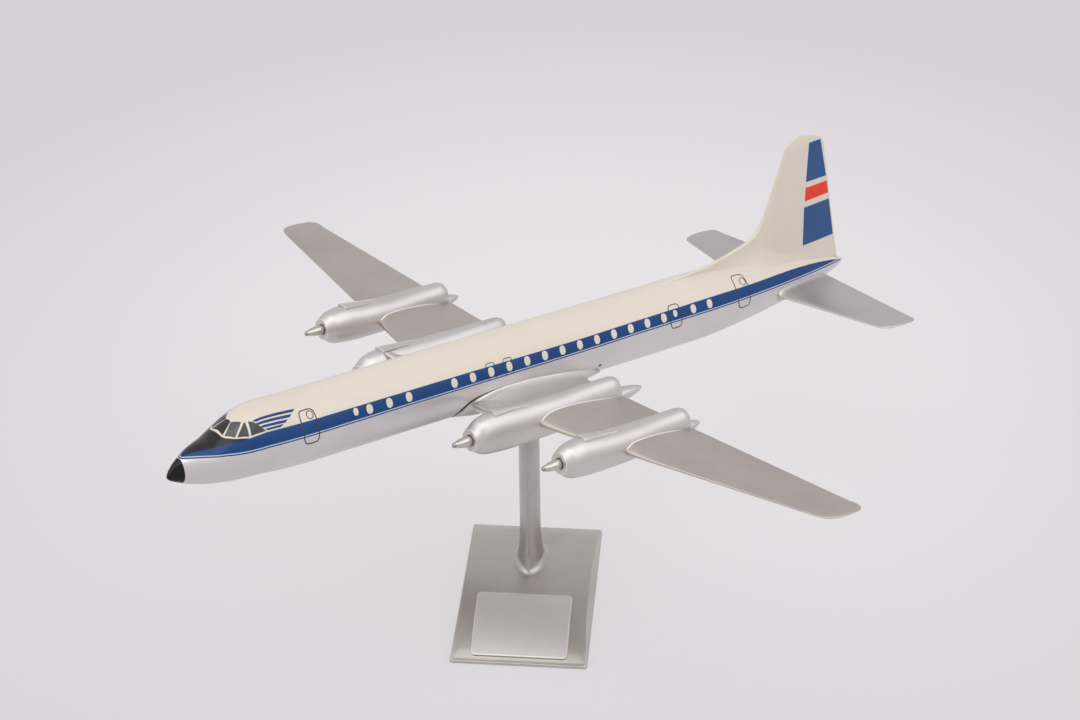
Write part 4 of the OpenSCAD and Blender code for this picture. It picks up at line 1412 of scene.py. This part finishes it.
    def piece(self) -> Piece:
        """Joins the wing, its fairing and its nacelles in one casting.

        Returns:
            The piece.
        """
        patches = self.skin() + [self.fairing()]
        for nacelle in self.nacelles():
            patches += [nacelle.shell(), nacelle.face(), nacelle.cone(), self.bead(nacelle),
                        nacelle.rim()] + nacelle.scoop()
            if nacelle.front[0] == self.outboard[0]:
                patches.append(self.bead(nacelle, -1))
        for side in Side:
            patches += self.glove(side) + [self.fairing_edge(side)]
        return Piece("wing_casting_skin", patches, [BUFFED, HIGHLIGHT_EDGE, SHADED_WING_FLAT], Body.AIRCRAFT, Slot.WING, ("wing_casting",))


@dataclass
class Tailplane:
    """One half of the tailplane, flared where it meets the body."""

    side: Side
    x: float = 393.6
    z: float = -1.9
    span: float = 83.0
    root: float = 49.5
    tip: float = 26.0
    sweep: float = 0.235
    thick: float = 0.09
    ending: Tip = Tip(6.5, (2.4, 0.42), shorten=0.85, aft=0.55, thinnest=0.08)
    fillet: tuple[float, float] = (1.9, 1.7)
    hull: Hull = field(default_factory=Hull)

    def piece(self) -> Piece:
        """Makes one half of the tailplane.

        Aerofoil rings taper outwards and close along a quarter oval; near the body the
        thickness gains an exponential of the distance from its side, as a soldered fillet does.

        Returns:
            The piece.
        """
        foil = Foil(0.1, 40)
        share, sign = foil.shares()
        start = self.span - self.ending.run
        y = np.concatenate([np.linspace(4, 22, 40), np.linspace(23, start, 24),
                            start + self.ending.run * np.sin(np.linspace(0, np.pi / 2, 24))[1:]])[:, None]
        base = self.root + (self.tip - self.root) * np.minimum(y, start) / start
        chord, aft, left = self.ending.close(y - start, base)
        x = self.x + self.sweep * y + aft + chord * share
        half = foil.height(share, chord, self.thick) * left
        off = y - self.hull.side_y(x, self.z)
        round_ends = np.clip(share * 22, 0, 1) * np.clip((1 - share) * 22, 0, 1)
        high, wide = self.fillet
        flare = high * np.exp(-np.clip(off, -0.5, 40) / wide) * round_ends
        z = self.z + sign * (half + flare)
        word = "left" if self.side is Side.PORT else "right"
        return Piece(f"{word}_tailplane_skin", [closed(joined(x, self.side.value * y, z))], [COOL], Body.AIRCRAFT,
                     Slot.TAIL, (f"{word}_tailplane",))


@dataclass
class Livery:
    """The painted trim: stripe, lines, windows, doors, cockpit panes and rudder bands, the same on both sides."""

    hull: Hull = field(default_factory=Hull)
    fuselage: Fuselage = field(default_factory=Fuselage)
    foot: Table = (
        (7.15, 90), (7.3, 80), (8.2, 68.5), (9.6, 59.5), (11.8, 51.2), (14.2, 44.7), (17, 39.2), (19.6, 34.7),
        (25.2, 26.0), (31, 17.9), (37, 12.6), (42, 10.3), (46, 9.1), (50, 8.8), (60, 9.0), (80, 9.3), (145, 10.0),
        (250, 10.2), (300, 12.2), (380, 12.4), (420, 13.2), (440, 14.8), (452, 17.5), (459.5, 24))
    crest: Table = (
        (8.2, 90), (10.0, 82), (13.2, 71.5), (18.6, 61.0), (23.2, 55.3), (27.7, 49.6), (32.0, 41.2), (36, 36.8),
        (39, 35.1), (43, 33.9), (48, 33.1), (60, 32.6), (145, 32.6), (245, 32.0), (270, 33), (300, 34.2), (340, 35),
        (365, 35.6), (380, 36.8), (400, 40.6), (420, 44.6), (438, 46.8), (448, 46.6), (455, 42), (460.5, 30))

    def raised(self, path: np.ndarray, by: float) -> np.ndarray:
        """Shifts a path over the skin towards the crest by a distance.

        Args:
            path: stations and angles.
            by: millimetres.

        Returns:
            The shifted path.
        """
        x, angle = path.T
        around = np.maximum(self.hull.radius_at(x), 4) * math.pi / 180
        length = np.linalg.norm(np.gradient(self.hull.at(x, angle), axis=0), axis=1)
        spin = np.gradient(angle) * around
        run = np.sqrt(np.maximum(length ** 2 - spin ** 2, 1e-9))
        slope = run / np.maximum(np.gradient(x), 1e-6)
        return np.stack([x - spin / length * by / slope, angle + run / length * by / around], -1)

    def stripe(self, side: Side) -> list[Patch]:
        """Lays the broad stripe and the two thin lines below it.

        Args:
            side: the side of the aircraft.

        Returns:
            One patch for each band.
        """
        foot, crest = smooth_path(self.foot, 420), smooth_path(self.crest, 420)
        upper, lower = self.raised(foot, 0.62), self.raised(foot, 1.12)
        return [self.hull.ribbon(low, high, side, finish, 0.06, across)
                for low, high, finish, across in ((foot, upper, 0, 1), (upper, lower, 1, 1), (lower, crest, 0, 12))]

    def windows(self, side: Side) -> list[Patch]:
        """Paints the cabin windows in their three groups, and the two small ones.

        Args:
            side: the side of the aircraft.

        Returns:
            One patch for each window.
        """
        at = [107.9, 120.2, 132.5] + [161.6 + 12.05 * k for k in range(13)] + [328.0, 340.2]
        spots = [(x, 23.3 + 1.8 * np.clip((x - 255) / 45, 0, 1), 1.92, 2.45) for x in at]
        spots += [(99.6, 25.3, 1.45, 1.95), (314.7, 26.6, 1.4, 1.85)]
        return [self.hull.oval(x, angle, half_l, half_h, side, 2) for x, angle, half_l, half_h in spots]

    def outlines(self, side: Side) -> list[Patch]:
        """Draws the doors, their round lights and the two hatches as thin lines.

        Args:
            side: the side of the aircraft.

        Returns:
            One patch for each line.
        """
        h = self.hull
        boxes = [(67.6, 76.5, -2.0, 50.8, 0.5, 0.58), (71.9, 75.4, 35.3, 47.4, 0.95, 0.42),
                 (362.5, 372.2, -1.8, 62.0, 0.5, 0.54), (367.6, 371.6, 38.6, 53.4, 0.95, 0.42),
                 (310.7, 318.6, 2.6, 42.0, 0.5, 0.5), (183.2, 188.9, 10.9, 37.2, 0.35, 0.4),
                 (194.6, 200.2, 10.9, 37.2, 0.35, 0.4)]
        return [h.loop(rounded_box(x0, x1, low, high, corner), width, side, 0)
                for x0, x1, low, high, corner, width in boxes]

    def panel(self, side: Side) -> list[Patch]:
        """Paints the dull black panel between the nose cap and the windscreen.

        Args:
            side: the side of the aircraft.

        Returns:
            The panel.
        """
        aft = smooth_path([(28.0, 90), (28.0, 80), (28.2, 70), (28.9, 62.5), (30.6, 54.8), (32.8, 47.6), (36.2, 40.2),
                           (39.0, 35.4)], 160)
        fore = smooth_path([k for k in self.crest if k[0] <= 39.2], 160)
        return [self.hull.ribbon(fore, aft, side, 0, 0.09, 14)]

    def panes(self, side: Side) -> list[Patch]:
        """Paints half of the middle pane and the three side panes, each a sheet between four corners on the skin.

        Args:
            side: the side of the aircraft.

        Returns:
            One patch for each pane.
        """
        corners = [((28.9, 70.6), (29.3, 90.0), (35.6, 90.0), (35.4, 83.2)),
                   ((29.4, 66.0), (33.0, 49.9), (38.8, 67.6), (35.3, 81.4)),
                   ((33.8, 47.8), (39.2, 38.2), (40.2, 62.8), (39.6, 63.8)),
                   ((40.3, 37.7), (47.9, 35.3), (43.8, 56.0), (41.6, 61.8))]
        made = []
        # On the port side the second pane takes the lighter, mottled finish: a painted reflection.
        for finish, quad in zip((0, int(side is Side.PORT), 0, 0), corners):
            x, angle = np.moveaxis(four_sided(quad, 13), -1, 0)
            patch = grid(self.hull.at(x, angle, 0.1, side), finish=finish)
            made.append(outward(patch, self.hull.axis(patch)))
        return made

    def bars(self, side: Side) -> list[Patch]:
        """Lays four plain bars behind the cockpit, each shorter than the one above it.

        Args:
            side: the side of the aircraft.

        Returns:
            One patch for each bar.
        """
        made = []
        for start, low, end, high, half in ((44.2, 56.9, 66.4, 54.8, 2.2), (45.0, 50.2, 63.4, 47.6, 2.2),
                                            (46.5, 43.2, 60.2, 41.3, 2.0), (48.3, 37.0, 57.2, 36.5, 1.6)):
            x, middle, slant = (np.linspace(*ends, 40) for ends in ((start, end), (low, high), (0.7, -1.0)))
            made.append(self.hull.ribbon(np.stack([x + slant, middle - half], -1),
                                         np.stack([x - slant, middle + half], -1), side, 0, 0.07, 3))
        return made

    def bands(self, side: Side) -> list[Patch]:
        """Paints the blue, red and blue bands on the rudder, each between four corners of station and height.

        Args:
            side: the side of the aircraft.

        Returns:
            One patch for each band.
        """
        made = []
        for finish, quad in ((0, ((425.3, 80.3), (434.9, 80.6), (442.1, 57.3), (424.9, 57.0))),
                             (1, ((425.0, 53.5), (443.1, 54.0), (445.1, 46.4), (425.0, 45.4))),
                             (0, ((424.7, 41.8), (446.1, 42.5), (452.1, 19.5), (425.6, 18.6)))):
            x, z = np.moveaxis(four_sided(quad, 33), -1, 0)
            patch = grid(joined(x, side.value * (self.fuselage.fin_half(x, z) + 0.06), z), finish=finish)
            middle, _ = normals(patch)
            made.append(outward(patch, middle * np.array([1, 0, 1])))
        return made

    def joint_lines(self, side: Side) -> list[Patch]:
        """Paints the shade in the open joint in front of the wing fairing and in the nick at its rear corner, as dark
        lines.

        Args:
            side: the side of the aircraft.

        Returns:
            The two lines.
        """
        gap = (((166.9, -60), (167.7, -45), (169.0, -34), (172.0, -22.5), (177.0, -14.6), (184, -10.0), (192, -8.1)),
               ((165.1, -60), (165.8, -45), (167.2, -31), (170.9, -18.6), (176.4, -11.8), (184, -8.4), (192, -7.5)))
        nick = (((260.6, -29.5), (261.6, -30.6), (262.6, -32)), ((260.8, -24.5), (261.9, -25.3), (262.9, -28)))
        return [self.hull.ribbon(smooth_path(low, count), smooth_path(high, count), side, 0, 0.05, 3)
                for (low, high), count in ((gap, 60), (nick, 12))]

    def pieces(self) -> list[Piece]:
        """Groups the trim of both sides by what it is.

        Returns:
            One piece for each kind of trim.
        """
        plan: tuple[tuple[str, list["Metal | Paint"], Callable[[Side], list[Patch]]], ...] = (
            ("hull_stripe", [BLUE, WHITE_LINE, CREAM], lambda side: self.stripe(side) + self.windows(side)),
            ("door_outlines", [INK], self.outlines), ("nose_panel", [BLACK], self.panel),
            ("cockpit_panes", [PANE, PANE_PAINTED_REFLECTION], self.panes), ("speed_bars", [BLUE], self.bars),
            ("rudder_bands", [FIN_BLUE, RED], self.bands), ("joint_lines", [JOINT_SHADE], self.joint_lines))
        return [Piece(name, [patch for side in Side for patch in paint(side)], finishes, Body.AIRCRAFT, Slot.PAINT)
                for name, finishes, paint in plan]


@dataclass
class Spinner:
    """A turned spinner in front of a nacelle, running on its pin."""

    number: int
    nacelle: Nacelle
    length: float = 10.68
    shoulder: float = 2.4
    radius: float = 2.7
    neck: float = 2.2
    dome: float = 1.35
    bore: float = 1.07
    rear: float = 1.45

    def piece(self) -> Piece:
        """Makes the spinner: a profile carried round the pin's axis, with its corners broken.

        Returns:
            The piece.
        """
        front = -self.length
        t = np.linspace(0, 1, 22)[1:]
        nose = np.stack([front - (self.shoulder + front) * t,
                         self.dome + (self.radius - self.dome) * np.sin(np.pi / 2 * t ** 0.85)], -1)
        profile = np.concatenate([[[self.rear, self.bore], [self.rear, self.neck - 0.1], [self.rear - 0.1, self.neck],
                                   [-0.25, self.neck], [-0.3, self.neck + 0.05], [-0.55, self.radius - 0.14],
                                   [-0.75, self.radius - 0.03]],
                                  nose[::-1], [[front, self.dome - 0.04], [front, self.bore]]])
        centre = self.nacelle.place(np.array([-4.0, 0, 0]))
        outer, inner = (outward(grid(self.nacelle.place(rings(x, r, circle(64))), wrap=True), centre)
                        for x, r in ((profile[:, :1], profile[:, 1:]), (np.array([[front], [self.rear]]), self.bore)))
        inner.quads = inner.quads[:, ::-1]
        return Piece(f"spinner_{self.number}_turned", [outer, inner], [TURNED], Body.AIRCRAFT, Slot.SPINNER,
                     (f"spinner_{self.number}",), rides_on=f"spinner_body_{self.number}")


@dataclass
class Stand:
    """The cast stand: a base with a crowned top and a thin post with hollow feet."""

    length: float = 120.0
    width: float = 74.0
    front: float = 78.2
    crown_top: float = 14.5
    edge: float = 2.0
    draft: float = 0.17
    draft_full: float = 34.0
    bevel: float = 0.4
    rim: float = 0.8
    corner: float = 1.5
    post_w: float = 11.4
    post_d: float = 26.0
    foot_h: float = 22.0
    foot_side: float = 2.6
    foot_front: float = 9.0
    foot_deep: float = 3.0
    washer: float = 0.8
    fillet_side: float = 4.2
    fillet_ridge: float = 0.9
    around: int = 80

    @property
    def middle(self) -> float:
        """Where the middle of the base lies along y."""
        return self.length / 2 - self.front

    @property
    def arc(self) -> float:
        """Radius of the arc that the crown follows from front to rear."""
        rise = self.crown_top - self.edge
        return (self.length ** 2 / 4 + rise ** 2) / (2 * rise)

    def crown(self, y: np.ndarray) -> np.ndarray:
        """Height of the top at y: the arc through the front and rear edges."""
        return self.crown_top - self.arc + np.sqrt(self.arc ** 2 - (y - self.middle) ** 2)

    def base(self) -> Patch:
        """Makes the base: drafted sides, a small rounded rim, and a top of shrinking outlines on the crown.

        Returns:
            The base.
        """
        centre = np.array([0, self.middle])
        ring = rounded_outline(self.width / 2, self.length / 2, self.corner, 60, 6) + centre
        level, flat = self.crown(ring[:, 1]), ring - centre
        bevel, rim = self.bevel, self.rim
        rows = [joined(*(ring - np.sign(flat) * bevel).T, 0), joined(*ring.T, bevel)]
        for v in np.linspace(0.1, 1, 10):
            z = bevel + (level - rim - bevel) * v
            lean = np.sign(flat[:, 0]) * self.draft * z * np.clip(np.abs(flat[:, 0]) / self.draft_full, 0, 1)
            rows.append(joined(ring[:, 0] - lean, ring[:, 1], z))
        top = rows[-1]
        inward = -(top[:, :2] - centre) / np.array([self.width / 2, self.length / 2])
        for turn in np.linspace(0, np.pi / 2, 7)[1:]:
            rows.append(joined(*(top[:, :2] + inward * rim * (1 - np.cos(turn))).T, top[:, 2] + rim * np.sin(turn)))
        lip = rows[-1]
        gap = lip[:, 2] - self.crown(lip[:, 1])
        for share in np.linspace(1, 0.02, 40)[1:]:
            x, y = ((lip[:, :2] - centre) * share + centre).T
            rows.append(joined(x, y, self.crown(y) + gap * np.clip((share - 0.9) / 0.1, 0, 1)))
        return closed(np.stack(rows))

    def lens(self, half_w: Any, half_d: Any) -> np.ndarray:
        """Draws the post's section, a long leaf with a round ridge in front and behind.

        The half width falls with the 1.6th power of the sine of the way round.

        Args:
            half_w: half widths, in a column for whole rings or one for each point.
            half_d: half depths, likewise.

        Returns:
            Rings of x and y.
        """
        turn = circle(self.around)
        return joined(half_w * np.sign(np.sin(turn)) * np.abs(np.sin(turn)) ** 1.6, -half_d * np.cos(turn))

    def foot(self, z: np.ndarray) -> np.ndarray:
        """Draws the foot's sections at heights over the crown's top: they spread with powers of the way down."""
        share = np.clip((self.foot_h - z) / (self.foot_h + self.foot_deep), 0, 1)
        return self.lens(self.post_w / 2 + self.foot_side * 0.75 * share ** 1.8,
                         self.post_d / 2 + self.foot_front * 0.8 * share ** 3)

    def post(self) -> Patch:
        """Makes the post: the foot, then a shaft that thins a little up to a head cut to the seat's tilt.

        Returns:
            The post.
        """
        low = self.foot_h - (self.foot_h + self.foot_deep) * (1 - np.linspace(0, 1, 44)[:, None]) ** 1.3
        foot = self.foot(low)
        v = np.linspace(0, 1, 40)[1:, None]
        shaft = self.lens(self.post_w / 2 * (1 - 0.04 * v), self.post_d / 2)
        tilt, top = math.radians(PLACEMENT.seat_tilt), self.crown_top + self.foot_h
        seat = PLACEMENT.seat_height - self.washer / math.cos(tilt) - math.tan(tilt) * shaft[..., 1]
        points = np.concatenate([joined(foot[..., 0], foot[..., 1], self.crown_top + low),
                                 joined(shaft[..., 0], shaft[..., 1], top + (seat - top) * v)])
        # Finish 1 gives the post a tone a shade darker than the base's: painted shade on its upright sides.
        return closed(points, 1)

    def fillet(self) -> Patch:
        """Makes the fillet round the foot.

        Each row lies a height over the crown and stands out from the post's flank as the quarter
        circle does that joins the two. The radius grows with the sine of the way round each flank.

        Returns:
            The fillet, open at both ends inside the casting.
        """
        side, ridge = self.fillet_side, self.fillet_ridge
        radius = ridge + (side - ridge) * np.abs(np.sin(circle(self.around))) ** 0.7
        level = (1 - np.sin(np.linspace(0, np.pi / 2, 16)))[:, None]
        height = radius * level
        ring = self.foot(height)
        way = np.roll(ring, -1, axis=1) - np.roll(ring, 1, axis=1)
        out = np.stack([way[..., 1], -way[..., 0]], -1) / np.linalg.norm(way, axis=-1, keepdims=True)
        out *= np.sign(np.sum(out * ring, -1).mean())
        spot = ring + out * (radius * (1 - np.sqrt(np.maximum(1 - (1 - level) ** 2, 0))))[..., None]
        z = self.crown(spot[..., 1]) + height - 0.04 * (1 - level)
        return outward(grid(joined(spot[..., 0], spot[..., 1], z), wrap=True), np.array([0, 0, self.crown_top]))

    def piece(self) -> Piece:
        """Joins base and post in one casting."""
        return Piece("stand_casting_skin", [self.base(), self.post(), self.fillet()], [SATIN, SHADED_POST], Body.STAND,
                     Slot.STAND, ("stand_casting",), carry=PLACEMENT.stand)


@dataclass
class NamePlate:
    """The thin bare plate bent to the crown."""

    stand: Stand
    length: float = 42.0
    width: float = 52.0
    top: float = 0.85
    corner: float = 2.4
    margin: float = 3.4

    def sheet_at(self, x: np.ndarray, run: np.ndarray, height: float) -> np.ndarray:
        """Bends flat points round the crown.

        Args:
            x: across the plate.
            run: along the plate from its middle, positive to the front.
            height: over the crown.

        Returns:
            Points on the arc.
        """
        s = self.stand
        centre = math.asin((s.front + s.middle - self.margin) / s.arc) - self.length / 2 / s.arc
        turn = centre + run / s.arc
        r = s.arc + height
        return joined(x, s.middle - r * np.sin(turn), s.crown_top - s.arc + r * np.cos(turn))

    def outline(self, inset: float) -> np.ndarray:
        """Draws the plate's outline moved in by inset."""
        return rounded_outline(self.width / 2 - inset, self.length / 2 - inset, max(self.corner - inset, 0.4), 24, 7)

    def piece(self) -> Piece:
        """Makes the plate: a bottom, a wall, a broken edge and a face of shrinking outlines.

        Returns:
            The piece.
        """
        rows = [(self.outline(inset), height)
                for inset, height in ((0.3, 0.05), (0.0, 0.08), (0.0, 0.66), (0.07, 0.79), (0.2, self.top))]
        rows += [(self.outline(0.2) * share, self.top) for share in np.linspace(1, 0.02, 26)[1:]]
        points = np.stack([self.sheet_at(ring[:, 0], ring[:, 1], height) for ring, height in rows])
        return Piece("name_plate_sheet", [closed(points)], [BRUSHED],
                     Body.STAND, Slot.PLATE, ("name_plate",), carry=PLACEMENT.stand)


@dataclass
class Hardware:
    """The small turned parts that keep their own solids and get a finish."""

    names: tuple[tuple["Metal | Paint", tuple[str, ...]], ...] = (
        (STEEL, ("pivot_screw", "thrust_washer", "wing_screws", "tailplane_dowels")), (BRASS, ("pivot_bush",)),
        (FIBRE, ("fibre_washer",)), (STEEL, tuple(f"spinner_pin_{i}" for i in range(1, 5))),
        (DULL_BRASS, tuple(f"nacelle_bush_{i}" for i in range(1, 5))))

    def dress(self, nodes: dict[str, Any]) -> None:
        """Gives each carried-over node its material.

        Args:
            nodes: the frame's objects by node name.
        """
        for finish, names in self.names:
            for name in names:
                mesh = nodes[name].data
                mesh.materials.clear()
                mesh.materials.append(finish_cache(finish))
                LOG.info("%s: finished in %s", name, finish.name)


@dataclass
class Studio:
    """A pale table top, a soft room and the camera of the photograph."""

    eye: tuple[float, float, float] = (0.1183, -1.1613, 0.9356)
    ahead: tuple[float, float, float] = (-0.0793, 0.8242, -0.5608)
    right: tuple[float, float, float] = (0.996, 0.0882, -0.0111)
    lens: float = 88.94
    world: float = 0.66
    open_floor: float = 0.7
    target: tuple[float, float, float] = (0.0, 0.0, 0.12)
    # Centre of the painted pool of light on the table top
    light_pool_centre: tuple[float, float, float] = (0.014, 0.214, 0.0)
    half_table: float = 6.0

    def camera(self) -> None:
        """Makes the camera, turned by its measured ahead and right directions."""
        data = bpy.data.cameras.new("photo_camera")
        data.sensor_fit = "HORIZONTAL"
        data.sensor_width = 36.0
        data.lens = self.lens
        data.clip_start, data.clip_end = 0.05, 60.0
        made = linked("photo_camera", data)
        ahead = Vector(self.ahead).normalized()
        right = (Vector(self.right) - ahead * Vector(self.right).dot(ahead)).normalized()
        up = right.cross(ahead)
        made.matrix_world = Matrix.Translation(self.eye) @ Matrix((right, up, -ahead)).transposed().to_4x4()
        bpy.context.scene.camera = made

    def lamp(self, name: str, at: tuple[float, float, float], size: tuple[float, float], watts: float,
             colour: str) -> None:
        """Adds a soft area lamp that faces the model.

        Args:
            name: the lamp's name.
            at: where it hangs, in metres.
            size: its width and height in metres.
            watts: its power.
            colour: its sRGB hex colour.
        """
        data = bpy.data.lights.new(name, "AREA")
        data.shape = "RECTANGLE"
        data.size, data.size_y = size
        data.energy = watts
        data.color = linear(colour)[:3]
        made = linked(name, data)
        made.location = at
        made.rotation_euler = (Vector(self.target) - Vector(at)).to_track_quat("-Z", "Y").to_euler()

    def seen(self, tree: bpy.types.NodeTree) -> Any:
        """Tells camera, glossy and transmission rays from the rest.

        Args:
            tree: the node tree.

        Returns:
            A socket that is one for those rays and else zero.
        """
        path = add(tree, "ShaderNodeLightPath").outputs
        first = maths(tree, "MAXIMUM", path["Is Camera Ray"], path["Is Glossy Ray"])
        return maths(tree, "MAXIMUM", first, path["Is Transmission Ray"])

    def lift(self, tree: bpy.types.NodeTree) -> None:
        """Shows the table top partly at its plain tone, so that its shadows stay light as in the photograph.

        Args:
            tree: the node tree of its material.
        """
        out = next(node for node in tree.nodes if node.bl_idname == "ShaderNodeOutputMaterial")
        lit = out.inputs["Surface"].links[0].from_socket
        place = add(tree, "ShaderNodeTexCoord").outputs["Object"]
        # The plain tone is a painted pool of light: lightest round a point near the stand, darker further out, and a
        # little paler again far off.
        away = add(tree, "ShaderNodeVectorMath", {"operation": "DISTANCE"}, {0: place, 1: self.light_pool_centre}).outputs["Value"]
        near = blend(tree, ramp(tree, away, (0.08, 0.54), soft=True), linear("efeaec"), linear("d7d3d7"))
        tone = blend(tree, ramp(tree, away, (0.9, 4.5), soft=True), near, linear("e5e2e6"))
        plain = add(tree, "ShaderNodeEmission", {}, {"Color": tone, "Strength": 1.0})
        share = maths(tree, "MULTIPLY", self.seen(tree), self.open_floor)
        mixed = add(tree, "ShaderNodeMixShader", {}, {0: share, 1: lit, 2: plain.outputs[0]})
        tree.links.new(mixed.outputs[0], out.inputs["Surface"])

    def room(self) -> None:
        """Lays the table top and lights it softly from the left, from above and a little from the right."""
        span = np.linspace(-self.half_table, self.half_table, 3)
        x, y = np.meshgrid(span, span, indexing="ij")
        sheet = grid(joined(x, y, -0.0002))
        mesh = bpy.data.meshes.new("table_top")
        mesh.from_pydata(sheet.points.tolist(), [], sheet.quads.tolist())
        cover = finish_cache(FLOOR)
        self.lift(cover.node_tree)
        mesh.materials.append(cover)
        table = linked("table_top", mesh)
        world = bpy.data.worlds.new("soft_room")
        bpy.context.scene.world = world
        world.use_nodes = True
        tree = world.node_tree
        tree.nodes.clear()
        room = add(tree, "ShaderNodeBackground", {}, {"Color": linear("f2f1f4"), "Strength": self.world})
        seen = add(tree, "ShaderNodeBackground", {}, {"Color": linear("d8d5d9"), "Strength": 1.0})
        mixed = add(tree, "ShaderNodeMixShader", {}, {0: self.seen(tree), 1: room.outputs[0], 2: seen.outputs[0]})
        add(tree, "ShaderNodeOutputWorld", {}, {"Surface": mixed.outputs[0]})
        self.lamp("window_left", (-1.5, -0.6, 1.5), (1.8, 1.6), 8.5, "fffaf3")
        self.lamp("soft_top", (0.0, -0.5, 1.9), (1.6, 1.2), 8.0, "ffffff")
        self.lamp("key_right", (1.3, -0.1, 1.45), (2.0, 1.5), 8.4, "fbfbff")
        bpy.context.scene.view_settings.view_transform = "Standard"


def main() -> None:
    """Loads the frame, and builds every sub-assembly on it."""
    logging.basicConfig(level=logging.INFO, format="%(message)s")
    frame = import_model()
    studio = Studio()
    studio.camera()
    fuselage, wing, stand = Fuselage(), Wing(), Stand()
    pieces = [stand.piece(), NamePlate(stand).piece(), wing.piece(), fuselage.body_piece(), fuselage.cap_piece(),
              Tailplane(Side.PORT).piece(), Tailplane(Side.STARBOARD).piece()]
    pieces += Livery(fuselage=fuselage).pieces()
    pieces += [Spinner(i + 1, nacelle).piece() for i, nacelle in enumerate(wing.nacelles())]
    for piece in pieces:
        piece.build()
    Hardware().dress(frame["nodes"])
    studio.room()


if __name__ == "__main__":
    main()
